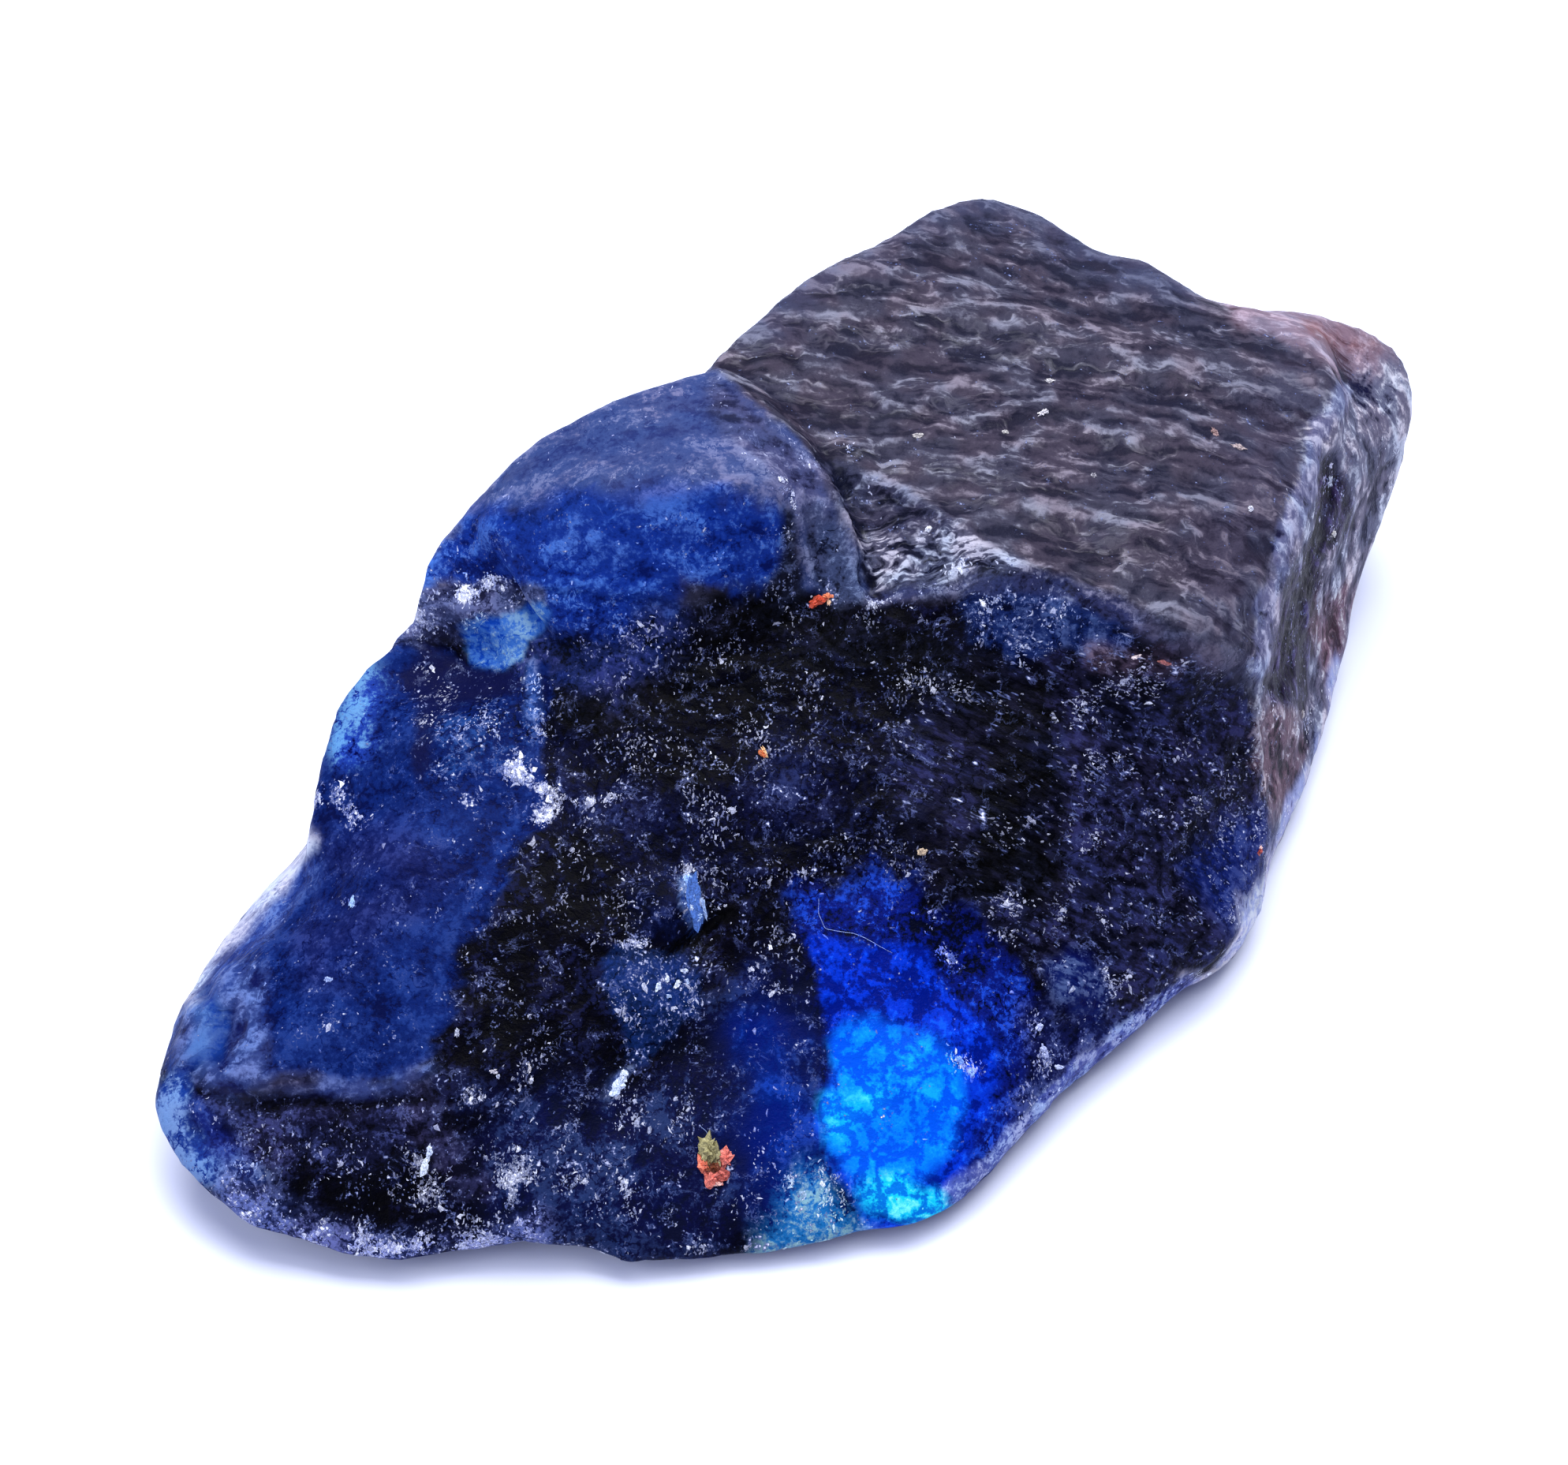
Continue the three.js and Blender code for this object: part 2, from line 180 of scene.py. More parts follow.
# Where points show on the marking plane: their way right and up of the eye, divided by
# their depth and multiplied by the plane's distance.
def onPlane(points):
    ray = points - eye
    depth = -(ray @ viewBack)
    return np.stack((ray @ viewRight, ray @ viewUp), axis=1) / depth[:, None] * camera["distance"]


stone = {
    "steps": 128,  # squares along each side of the six grids
    "heart": (-1.63, -1.47, 9.0),  # mm, the point that every grid point is seen from
    "ball": 60.0,  # mm, radius of the ball that shrinks onto the solid
    "stretch": (1.0, 0.85, 0.6),
    "lean": (0.0, -0.22, 0.34),  # more grid points on the front and the top
    "softenRounds": 46,
    "creaseRounds": 9,  # less softening beside the ridges
    "creaseReach": (0.3, 1.3),  # mm, where a ridge's crispness starts and ends to fade
    "creaseShare": 0.75,  # how crisp a ridge stays
    "flatBelow": 0.02,  # mm, the underside
    "clearance": 0.03,  # mm, the lowest that the sides reach
}


# Six square grids of a cube's sides, their rows spread by a tangent so that the squares
# stay even when each grid point is pushed out to a sphere. Shared border points are one.
def cubeSphere(steps):
    row = 2 * np.arange(steps + 1) - steps
    a, b = np.meshgrid(row, row, indexing="ij")
    axes = np.eye(3, dtype=int)
    corners, tiles = [], []
    for side in range(6):
        out = axes[side // 2] * (1 if side % 2 == 0 else -1)
        first, second = axes[(side // 2 + 1) % 3], axes[(side // 2 + 2) % 3]
        if side % 2:
            first, second = second, first
        grid = a[..., None] * first + b[..., None] * second + steps * out
        corners.append(grid.reshape(-1, 3))
        spread = np.stack((a, b), axis=-1).reshape(-1, 2) / (2 * steps) + 0.5
        tiles.append((spread * 0.98 + 0.01 + (side % 3, side // 3)) / (3, 2))
    corners = np.concatenate(corners)
    size = 2 * steps + 1
    key = ((corners[:, 0] + steps) * size + corners[:, 1] + steps) * size + corners[:, 2] + steps
    _, first, shared = np.unique(key, return_index=True, return_inverse=True)
    index = np.arange((steps + 1) ** 2).reshape(steps + 1, steps + 1)
    square = np.stack((index[:-1, :-1], index[1:, :-1], index[1:, 1:], index[:-1, 1:]), axis=-1)
    squares = np.concatenate([square.reshape(-1, 4) + side * (steps + 1) ** 2 for side in range(6)])
    direction = unit(np.tan(corners[first] / steps * math.pi / 4))
    return direction, shared[squares], np.concatenate(tiles)[squares]


# A mesh from points in millimetres and a list of faces.
def makeMesh(name, points, faces):
    mesh = bpy.data.meshes.new(name)
    mesh.from_pydata((points * mm).tolist(), [], faces)
    return mesh


# Each point of a wide ball slides inwards along its own normal until it meets the target.
def wrapOnto(points, faces, target):
    ball = bpy.data.objects.new("wrapBall", makeMesh("wrapBall", points, faces.tolist()))
    bpy.context.scene.collection.objects.link(ball)
    wrap = ball.modifiers.new("wrap", "SHRINKWRAP")
    wrap.wrap_method = "PROJECT"
    wrap.use_positive_direction = False
    wrap.use_negative_direction = True
    wrap.target = target
    shaped = ball.evaluated_get(bpy.context.evaluated_depsgraph_get())
    found = np.empty(len(points) * 3, np.float32)
    shaped.data.vertices.foreach_get("co", found)
    mesh = ball.data
    bpy.data.objects.remove(ball)
    bpy.data.meshes.remove(mesh)
    return found.reshape(-1, 3).astype(float) / mm


# Mean of the neighbours of every point, along the edges of the squares.
def neighbourMean(values):
    total = [
        np.bincount(edges[:, 0], values[:, k][edges[:, 1]], len(values))
        + np.bincount(edges[:, 1], values[:, k][edges[:, 0]], len(values))
        for k in range(values.shape[1])
    ]
    return np.stack(total, axis=1) / edgeCount[:, None]


# Softening: each round draws a point towards its neighbours and then pushes it back by
# almost as much, which flattens the facets and keeps the bulk.
def soften(points, rounds, pullIn=0.6, pushOut=0.61):
    for _ in range(rounds):
        points = points + pullIn * (neighbourMean(points) - points)
        points = points - pushOut * (neighbourMean(points) - points)
    return points


# Normal of each point: the sum of the cross products of its squares' diagonals.
def pointNormals(points):
    corner = points[squares]
    cross = np.cross(corner[:, 2] - corner[:, 0], corner[:, 3] - corner[:, 1])
    normal = np.zeros_like(points)
    for k in range(4):
        for axis in range(3):
            normal[:, axis] += np.bincount(squares[:, k], cross[:, axis], len(points))
    return unit(normal)


direction, squares, tiles = cubeSphere(stone["steps"])
direction = unit(unit(direction + stone["lean"]) * stone["stretch"])
points = wrapOnto(direction * stone["ball"] + stone["heart"], squares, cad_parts["rough_sapphire"])
print("surface laid on the solid,", len(squares) * 2, "triangles")

edges = np.concatenate([squares[:, [k, (k + 1) % 4]] for k in range(4)])
edges = np.unique(np.sort(edges, axis=1), axis=0)
edgeCount = np.bincount(edges.ravel(), minlength=len(points)).astype(float)
table = points[:, 2] < stone["flatBelow"]
crisp = soften(points, stone["creaseRounds"])
smooth = soften(crisp, stone["softenRounds"])

# Lines on the marking plane that more than one thing follows.
domeCrest = [
    (-3.2, 16.7), (-2.2, 15.8), (-1.1, 14.9), (0.2, 13.6), (1.3, 12.4), (2.2, 10.5), (3.3, 8.7),
    (3.9, 6.7),
]
hollowRidge = [
    (2.4, 12.7), (3.9, 12), (5.7, 11.2), (7.5, 10), (9, 8.7), (10.8, 7.9), (12.3, 7.4), (15.7, 6.2),
]
endRidge = [(25.7, 15.6), (24.6, 13.8), (24.1, 11.6), (23.4, 9.8), (22.8, 7.6), (22.3, 5.4), (21.8, 2.9)]

# Ridges that stay crisp.
ridges = {
    "domeCrest": domeCrest,
    "domeBreak": [(-12.2, 10.3), (-11.1, 10.3), (-8.5, 10.8), (-5.3, 11.3), (-2.3, 11.2), (-0.1, 10.5)],
    "hollowRidge": hollowRidge,
    "lip": [(3.9, 6.1), (6.1, 6.3), (8.2, 6.7), (11.2, 6.5), (14.1, 5.6), (15.9, 4.7)],
    "endBevel": [(25.4, 15.8), (24.1, 14.2), (23.8, 12), (23, 10.2), (22.3, 7.6), (22, 5.8), (21.5, 2.9)],
    "shelfFold": [
        (-27.2, -15.9), (-24.2, -16.4), (-21.7, -16), (-20.2, -16.4), (-17.3, -16), (-16.4, -15.5),
    ],
    "backRim": [
        (7.2, 25.3), (9.7, 24.9), (11.2, 24.3), (12.8, 23.5), (14.3, 22.1), (15.9, 21.9), (17.7, 21.3),
        (19.6, 19.9), (22.1, 19.6), (26.5, 18.9), (28.5, 17.3),
    ],
    "domeNotch": [(-4.5, 17), (-3.6, 16.7), (-3.2, 16.6)],
    "leftNotch": [(-16.6, 6.7), (-17.3, 5.2), (-18.1, 4.3), (-19.1, 2.9)],
    "hipNotch": [(-21.7, -4.4), (-22, -5.7), (-23.1, -6.6)],
    "footNotch": [(-14.4, -23.6), (-12.6, -23), (-10.7, -23.5), (-9.3, -24.5), (-7.1, -24.1)],
}
plane = onPlane(smooth)
nearest = np.min([lineDistance(plane, line) for line in ridges.values()], axis=0)
crispness = (1 - smoothStep(*stone["creaseReach"], nearest)) * stone["creaseShare"]
points = smooth + (crisp - smooth) * crispness[:, None]
points[table, 2] = 0
points[~table, 2] = np.maximum(points[~table, 2], stone["clearance"])
normals = pointNormals(points)
print("facets softened")

# The stone's markings, painted one over the other. Tones are the dark, middle and light
# of a zone's mottling, its edge is soft over so many mm and wobbles by so many, and the
# rest is how strongly it carries each kind of relief (mm) or finish:
# ripples  long shallow waves        chips   small flat breaks     pits    round hollows
# flecks   pale frosted specks       rough   dullness              waved   rippled colour
# slanted  colour in sloping streaks glow    painted light         gloss   a clear shine
# Flecks are partly painted glints, the rippled colour carries painted light and shade,
# and glow is emission that stands in for light passing through the stone.
# Zones marked facing keep off the skin that turns away from the front.
zones = {
    "back": dict(
        tones=[(34, 36, 54), (62, 62, 84), (100, 100, 126)], wholeStone=True, ripples=0.07, chips=0.05,
        pits=0.03, flecks=0.15, rough=0.5, waved=0.5,
    ),
    "front": dict(
        outline=[(-18, 5.1), (-15.8, 6.7), (-10.7, 6.7), (-3.4, 5.8), (3.9, 6), (8.2, 6.4), (15.9, 4.7),
        (17.7, 3.9), (21.8, 1.8), (22.1, -0.1), (22.8, -2.6), (23, -4.8), (21.4, -13.2), (9.3, -23.8),
        (3.9, -25.2), (-7.1, -28.2), (-25.3, -27.4), (-31.9, -19), (-30.1, -9.9), (-23.9, -4.4),
        (-22.8, -0.8), (-21, 3.2)],
        tones=[(4, 4, 9), (5, 5, 17), (23, 27, 62)], soft=0.25, wobble=0.3, ripples=0.0, chips=0.13,
        pits=0.05, flecks=0.43, rough=0.42, waved=0.0,
    ),
    "frontRight": dict(
        outline=[(5, -1.1), (6.8, 1), (8.6, 3.2), (12.3, 4), (16.3, 4.3), (22.1, 1.4), (23.6, -4.8),
        (22.1, -9.9), (19.2, -13.2), (14.8, -14.7), (12.3, -11.7), (9.3, -9.2), (6.8, -5.5)],
        tones=[(6, 7, 21), (26, 27, 50), (49, 52, 98)], soft=1.6, wobble=1.2, chips=0.08, flecks=0.49,
        slanted=1.0,
    ),
    "frontBlue": dict(
        line=[(-10.7, -20.1), (-6.4, -20.9), (-2, -17.9), (0.2, -14.7)], reach=3.6,
        tones=[(14, 19, 47), (14, 19, 64), (42, 60, 108)], soft=2.0, wobble=1.4,
    ),
    "navyVeil": dict(
        line=[(-10, -2.1), (-7.4, -4.1), (-4.9, -4.8), (-2.3, -4.1), (0.2, -2.1), (1.7, -2.8)], reach=1.5,
        tones=[(5, 6, 22), (13, 17, 52), (42, 50, 96)], soft=1.6, wobble=1.2,
    ),
    "frontVivid": dict(
        line=[(-1.2, -13.6), (-0.3, -16.5), (-0.3, -19), (0.2, -20.9)], reach=1.3,
        tones=[(3, 28, 123), (3, 38, 132), (20, 67, 180)], soft=1.8, wobble=1.0, flecks=0.35,
    ),
    "blackBelt": dict(
        line=[(-9.3, 1.4), (-5.3, 3), (-3.4, 5.1), (-0.3, 5.8), (3.1, 4.7), (7.5, 2.5), (11.2, 1),
        (9.3, -6.3), (11.9, -6.6)],
        tones=[(3, 3, 4), (12, 13, 21), (29, 30, 49)], reach=1.6, soft=1.2, wobble=1.2, flecks=0.34,
    ),
    "topSlab": dict(
        outline=[(-3.8, 16.6), *domeCrest[:5], *hollowRidge, (18.5, 4.7), (20.7, 4), (21.8, 4),
        (22.1, 6.2), (22.3, 7.6), (23, 10.2), (23.8, 12), (24.1, 14.2), (25.4, 15.8), (26.1, 16.4),
        (26.5, 20), (22.1, 21.5), (18.5, 22.9), (14.8, 25.1), (9.3, 27.3), (0.2, 23.7), (-5.3, 18.6)],
        tones=[(40, 39, 56), (73, 69, 85), (149, 145, 160)], soft=0.15, wobble=0.15, ripples=0.11,
        chips=0.0, pits=0.02, flecks=0.1, rough=0.46, waved=1.0, gloss=0.3,
    ),
    "slabRight": dict(
        line=[(23.6, 16.7), (22.8, 14.2), (21.8, 10.5), (20.7, 7.6), (20.7, 5.1)], reach=1.6,
        tones=[(51, 48, 65), (78, 75, 94), (124, 119, 134)], soft=1.5, wobble=0.8,
    ),
    "slabBack": dict(
        line=[(-1.2, 19.3), (2.4, 22.2), (7.5, 24.6), (11.2, 24.2), (14.8, 21.8), (18.5, 20.8)],
        tones=[(46, 47, 66), (68, 70, 96), (104, 106, 132)], reach=1.0, soft=1.4, wobble=0.6,
    ),
    "hollow": dict(
        outline=[(2, 12.5), *hollowRidge[1:6], (12.3, 7.3), (15.7, 6.2), (13, 6.3), (10.8, 6.4),
        (8.2, 6.6), (6.1, 6.3), (4, 6.1), (3.6, 8.3), (2.5, 10.5)],
        tones=[(24, 26, 44), (64, 64, 88), (160, 162, 184)], soft=0.15, wobble=0.15, ripples=0.03,
        flecks=0.25, rough=0.36, waved=1.0, gloss=0.4,
    ),
    "hollowBand": dict(
        outline=[(3.9, 7.1), (6.8, 7.5), (8.6, 8.2), (10.8, 7.7), (12.6, 7.1), (15.5, 6), (16.3, 5.1),
        (14.1, 5.5), (11.2, 6.4), (8.2, 6.6), (6.1, 6.3), (4, 6.1)],
        tones=[(22, 23, 48), (56, 63, 106), (144, 148, 178)], soft=0.3, wobble=0.3, rough=0.5, waved=0.4,
        gloss=0.15,
    ),
    # Painted sheen: a band of reflected light in the hollow.
    "sheenBand": dict(
        outline=[(3.5, 8.9), (5.7, 9.1), (8.1, 9.5), (9.8, 8.5), (11.2, 7.5), (9, 7.3), (7.2, 6.8),
        (4.2, 6.6)],
        tones=[(28, 30, 50), (96, 98, 122), (222, 226, 242)], soft=0.4, wobble=0.4, waved=1.0, gloss=0.8,
    ),
    "lipBlue": dict(
        outline=[(7.5, 6), (8.4, 6.5), (10.8, 6.3), (13, 6.1), (15.5, 5.2), (16.3, 4.3), (15.7, 3.7),
        (14.1, 4), (12.3, 3.8), (10.4, 3.5), (9, 4), (8.1, 5.1)],
        tones=[(4, 9, 38), (22, 40, 94), (72, 92, 144)], soft=0.25, wobble=0.5, flecks=0.6, gloss=0.0,
    ),
    "domeSkin": dict(
        outline=[(-3.8, 17.5), *domeCrest, (2.4, 6.2), (0.9, 6.9), (0.6, 8.7), (0.2, 10.5), (-2, 11),
        (-5.3, 11.1), (-8.5, 10.7), (-11.1, 10.3), (-13.7, 10.2), (-15.8, 8.7), (-18, 10.5),
        (-14.4, 15.6), (-7.8, 18.6)],
        tones=[(42, 55, 113), (64, 82, 137), (127, 133, 175)], soft=0.2, wobble=0.3, ripples=0.02,
        chips=0.0, pits=0.06, flecks=0.22, rough=0.5, waved=0.45, gloss=0.08,
    ),
    "domeRight": dict(
        outline=[(-3.4, 16.8), (-2.2, 15.9), (0.2, 13.7), (1.3, 12.4), (2.3, 10.5), (3.1, 8.8),
        (1.7, 9.5), (0.6, 10.7), (-0.7, 12), (-2.3, 13.3), (-3.6, 14.9)],
        tones=[(34, 38, 70), (76, 82, 124), (140, 146, 182)], soft=0.5, wobble=0.4, flecks=0.3,
        waved=0.75,
    ),
    "domeFront": dict(
        outline=[(-16.6, 8.3), (-14.7, 9.6), (-13.7, 10.2), (-11.1, 10.2), (-8.5, 10.7), (-5.3, 11),
        (-2, 10.9), (0.2, 10.5), (0.5, 8.7), (0.2, 7.2), (-1.2, 6.7), (-3.4, 6.8), (-4.5, 7.1),
        (-4.9, 5.1), (-7.1, 2.9), (-10.7, 2.5), (-11.1, 6), (-12.9, 6.7), (-15.8, 6.5), (-18, 5.1),
        (-18.8, 6.9)],
        tones=[(6, 25, 96), (23, 58, 155), (83, 132, 223)], soft=0.4, wobble=0.7, chips=0.05, pits=0.04,
        flecks=0.3, rough=0.45, gloss=0.0,
    ),
    "domeBright": dict(
        line=[(-14, 10), (-10.7, 10.1), (-7.1, 10.7), (-3.4, 11)], reach=0.3,
        tones=[(14, 38, 104), (28, 60, 146), (50, 92, 186)], soft=0.9, wobble=0.5,
    ),
    "domeLow": dict(
        line=[(-12.9, 2.2), (-10.7, 3.2), (-8.5, 3.3), (-6.5, 3.9), (-5.4, 4.9)], reach=1.3,
        tones=[(7, 12, 25), (29, 41, 90), (57, 67, 134)], soft=1.0, wobble=0.8, flecks=0.42,
    ),
    "domeFlank": dict(
        outline=[(0.7, 10.7), (1.5, 10.5), (2.4, 10), (3.3, 8.7), (3.9, 6.7), (3.8, 6), (2.4, 5.8),
        (1.3, 6.7), (0.8, 8.3)],
        tones=[(18, 22, 44), (74, 84, 120), (146, 160, 196)], soft=0.3, wobble=0.3, pits=0.05, flecks=0.3,
        gloss=0.1,
    ),
    "domePocket": dict(
        line=[(0.2, 10.2), (0.4, 8.7), (0.2, 7.2), (-0.3, 6.5)], reach=0.45,
        tones=[(6, 7, 14), (22, 26, 44), (70, 80, 110)], soft=0.4, wobble=0.5, flecks=0.6,
    ),
    "ledgeGrey": dict(
        outline=[(-18, 4.3), (-17.3, 5.6), (-16.8, 6.6), (-15.5, 6.8), (-14.4, 6.8), (-12.6, 7.1),
        (-10.7, 6.6), (-10.7, 6), (-11.5, 5), (-14.4, 4.7), (-14.9, 4.3), (-16.2, 4), (-17.3, 4)],
        tones=[(28, 32, 62), (64, 72, 114), (120, 130, 178)], soft=0.2, wobble=0.3, flecks=0.5,
    ),
    "ledgeBlue": dict(
        outline=[(-14.8, 4.7), (-14, 5.2), (-12.6, 5.6), (-11.1, 6.1), (-10.7, 5.6), (-11.2, 4.7),
        (-11.8, 4.3), (-12, 3.4), (-12.6, 3.2), (-13.5, 3), (-14.4, 3), (-14.5, 3.8)],
        tones=[(15, 77, 193), (72, 132, 220), (154, 196, 230)], soft=0.15, wobble=0.25, flecks=0.15,
    ),
    "leftFlank": dict(
        outline=[(-17.8, 4.3), (-15.8, 3.8), (-14.4, 2.9), (-12.4, 2.9), (-11.3, 2.6), (-10.7, 1.6),
        (-11.2, 0.5), (-10.7, -0.6), (-11.2, -1.9), (-10.5, -3), (-11.1, -4.3), (-12.5, -5.7),
        (-13.6, -7.4), (-14.2, -8.9), (-14.8, -9.9), (-15.1, -11.4), (-15.3, -12.5), (-15.8, -13.6),
        (-16.6, -15), (-17.5, -15.8), (-20.2, -16.4), (-21.7, -16), (-24.2, -16.4), (-27.2, -15.9),
        (-29, -14.7), (-29.7, -9.9), (-25.3, -5.5), (-23.1, -4.4), (-22.8, -0.8), (-20.6, 3.6)],
        tones=[(5, 16, 69), (13, 37, 106), (33, 61, 135)], soft=0.2, wobble=0.8, chips=0.06, pits=0.05,
        flecks=0.24, rough=0.45, gloss=0.0,
    ),
    "leftTopDark": dict(
        outline=[(-17.1, 3.6), (-15.8, 4), (-14.4, 2.9), (-12.6, 2.9), (-11.1, 2.6), (-11.1, 1.4),
        (-12.9, 1.8), (-14.7, 1), (-15.8, -0.1), (-16.4, -2.2), (-17.1, -1.9), (-16.8, 1), (-17.3, 2.5)],
        tones=[(16, 21, 66), (17, 22, 70), (23, 32, 78)], soft=0.3, wobble=0.5, flecks=0.5,
    ),
    "leftTopBlue": dict(
        line=[(-19.1, 2.5), (-19.7, 1), (-20, -0.8)], reach=0.9,
        tones=[(3, 5, 74), (35, 70, 174), (111, 170, 223)], soft=0.6, wobble=0.5,
    ),
    "leftCrystals": dict(
        outline=[(-14.4, 1), (-12.2, 1.8), (-11.1, 1), (-11.1, -0.1), (-12, -1.1), (-13.7, -1.1),
        (-15.5, -2.6), (-16.2, -1.1), (-15.8, 0.7)],
        tones=[(1, 5, 35), (5, 26, 91), (37, 76, 147)], soft=0.9, wobble=0.9, flecks=0.6,
    ),
    "leftStreak": dict(
        line=[(-11.6, 3.3), (-11.5, 2.1), (-11.4, 0.9)], reach=0.22,
        tones=[(20, 46, 110), (60, 96, 170), (140, 166, 224)], soft=0.25, wobble=0.3,
    ),
    "leftMid": dict(
        line=[(-20.2, -5.5), (-18, -5.5), (-16.6, -6.3), (-19.1, -8.4), (-21, -9.9)], reach=1.4,
        tones=[(8, 18, 72), (22, 34, 96), (48, 62, 130)], soft=1.3, wobble=0.8,
    ),
    "shelfPale": dict(
        outline=[(-27.2, -11.4), (-25.7, -10.5), (-23.9, -11), (-23.5, -13.2), (-23.7, -15.6),
        (-21.7, -15.8), (-20.2, -16.2), (-17.3, -15.9), (-16.3, -15.4), (-17.3, -16.7), (-19.9, -17),
        (-21.7, -16.8), (-24.2, -16.9), (-26.1, -16.7), (-27.5, -15.6), (-28, -13.6)],
        tones=[(9, 18, 80), (50, 68, 130), (116, 140, 204)], soft=0.4, wobble=0.6, chips=0.16, pits=0.14,
        flecks=0.2, waved=0.7, gloss=0.3,
    ),
    "shelfBlue": dict(
        line=[(-26.7, -12.2), (-26.2, -13.6), (-26.7, -14.7)], reach=0.7,
        tones=[(22, 66, 156), (62, 97, 167), (89, 127, 191)], soft=0.5, wobble=0.4,
    ),
    "shelfSide": dict(
        line=[(-22, -6.1), (-23.5, -8.1), (-25, -9.7), (-25.9, -11.2)], reach=0.7,
        tones=[(20, 44, 120), (48, 76, 156), (104, 132, 200)], soft=0.5, wobble=0.4,
    ),
    "tip": dict(
        outline=[(-29.7, -17.9), (-28.6, -16.2), (-27.5, -15.8), (-27.1, -16.8), (-27.2, -18.3),
        (-25.3, -19), (-23.7, -20.5), (-25.3, -21.2), (-27.5, -20.9), (-29.3, -19.8)],
        tones=[(3, 30, 119), (25, 65, 154), (129, 167, 222)], soft=0.4, wobble=0.5, flecks=0.2, rough=0.5,
        gloss=0.08,
    ),
    "tipBlue": dict(
        line=[(-26.6, -17.2), (-25.9, -18.7), (-24.6, -19.4)], reach=0.6,
        tones=[(8, 18, 86), (24, 40, 120), (60, 84, 164)], soft=0.5, wobble=0.4,
    ),
    # Painted shade in the recess below the shelf.
    "recessShade": dict(
        outline=[(-27.3, -15.5), (-26.1, -16.7), (-24.2, -17), (-21.7, -16.8), (-19.9, -17.1),
        (-17.3, -16.7), (-16.4, -17.2), (-16.6, -18.7), (-18, -19.8), (-19.9, -20.5), (-22.4, -20.1),
        (-24.2, -20.1), (-25.3, -18.7), (-26.7, -17.2)],
        tones=[(6, 6, 18), (22, 24, 52), (63, 69, 120)], soft=0.3, wobble=0.5, flecks=0.35, gloss=0.0,
    ),
    "recessBrown": dict(
        line=[(-24.4, -16.6), (-23.5, -16.2), (-21.9, -16)], reach=0.35,
        tones=[(22, 22, 38), (44, 42, 62), (88, 84, 108)], soft=0.5, wobble=0.5,
    ),
    "foldStreak": dict(
        line=[(-17.1, -16.2), (-16.3, -17.9), (-15.3, -19.4), (-14.4, -20.9)], reach=0.55,
        tones=[(16, 16, 34), (50, 50, 86), (110, 112, 156)], soft=0.6, wobble=0.6,
    ),
    "greyPatch": dict(
        outline=[(-8.3, -10.5), (-7.6, -9.8), (-6.6, -9.6), (-5.3, -9.9), (-4.5, -10.5), (-3.9, -11.4),
        (-4, -12.8), (-4.7, -13.6), (-4.8, -14.2), (-5.6, -14.7), (-6.4, -15.3), (-7.1, -14.4),
        (-7.6, -13.2), (-8.2, -11.7)],
        tones=[(3, 4, 28), (14, 35, 79), (27, 53, 117)], soft=0.15, wobble=0.35, chips=0.02, flecks=0.7,
    ),
    "chipSlope": dict(
        outline=[(-6.9, -6.7), (-4.9, -6.2), (-4.5, -8.1), (-4.2, -9.2), (-5.3, -9.9), (-7.1, -9.5),
        (-7.2, -8.1)],
        tones=[(4, 6, 26), (7, 14, 49), (34, 45, 95)], soft=0.3, wobble=0.3,
    ),
    "chip": dict(
        outline=[(-4.7, -6.6), (-4.1, -6.5), (-3.8, -7.4), (-3.5, -8.4), (-3.9, -9.3), (-4.4, -8.9),
        (-4.7, -7.9)],
        tones=[(26, 56, 130), (84, 112, 170), (176, 198, 236)], soft=0.1, wobble=0.15, flecks=0.5,
    ),
    # Painted shadow in the crevice beside the chip.
    "creviceShadow": dict(
        line=[(-5.2, -10), (-4.2, -9.5), (-3.2, -8.9), (-2.3, -8.1)], reach=0.25,
        tones=[(2, 2, 4), (4, 4, 7), (10, 10, 16)], soft=0.2, wobble=0.2, flecks=0.0,
    ),
    "whiteChip": dict(
        line=[(-8, -16.6), (-7.8, -16), (-7.2, -15.7)], reach=0.12,
        tones=[(50, 70, 124), (110, 130, 184), (186, 202, 234)], soft=0.12, wobble=0.15,
    ),
    "glowEdge": dict(
        outline=[(0.4, -6.9), (2.4, -7.1), (4.2, -6.3), (5.7, -6.6), (7, -8.8), (8.6, -8.4),
        (10.1, -10.5), (11.5, -11.7), (11.9, -14.7), (11.5, -17.2), (10.1, -19.4), (8.1, -21.6),
        (6.1, -24.1), (3.5, -23), (2.4, -20.1), (1.9, -17.2), (2.2, -14.7), (1.7, -10.6), (0.6, -8.1)],
        tones=[(3, 7, 30), (8, 25, 118), (32, 82, 216)], soft=0.7, wobble=0.7, chips=0.04, flecks=0.15,
        slanted=0.0, glow=0.12, gloss=0.0,
    ),
    "lowRight": dict(
        outline=[(10.8, -12.1), (12.3, -12.8), (14.8, -13.4), (16.3, -13.2), (14.8, -14.8), (13, -16.3),
        (11.5, -18.3), (10.8, -17.2), (11.2, -14.7)],
        tones=[(5, 9, 40), (18, 25, 76), (70, 82, 142)], soft=0.8, wobble=0.7, flecks=0.45,
    ),
    "glow": dict(
        outline=[(0.9, -9.5), (2.4, -9.5), (4.2, -9.9), (5.7, -9.7), (6.6, -9.9), (7.2, -11.4),
        (7.9, -12.1), (9.3, -13.2), (9.8, -15), (9.7, -17.2), (8.8, -18.7), (8.4, -20.1), (7.5, -22),
        (6.4, -23), (4.2, -23), (3.3, -21.6), (2.3, -20.1), (1.8, -17.9), (1.9, -16.8), (2.4, -15.2),
        (2, -13.2), (1.5, -11.4)],
        tones=[(0, 22, 126), (4, 54, 206), (14, 92, 250)], soft=0.25, wobble=0.35, glow=0.6,
    ),
    "glowBright": dict(
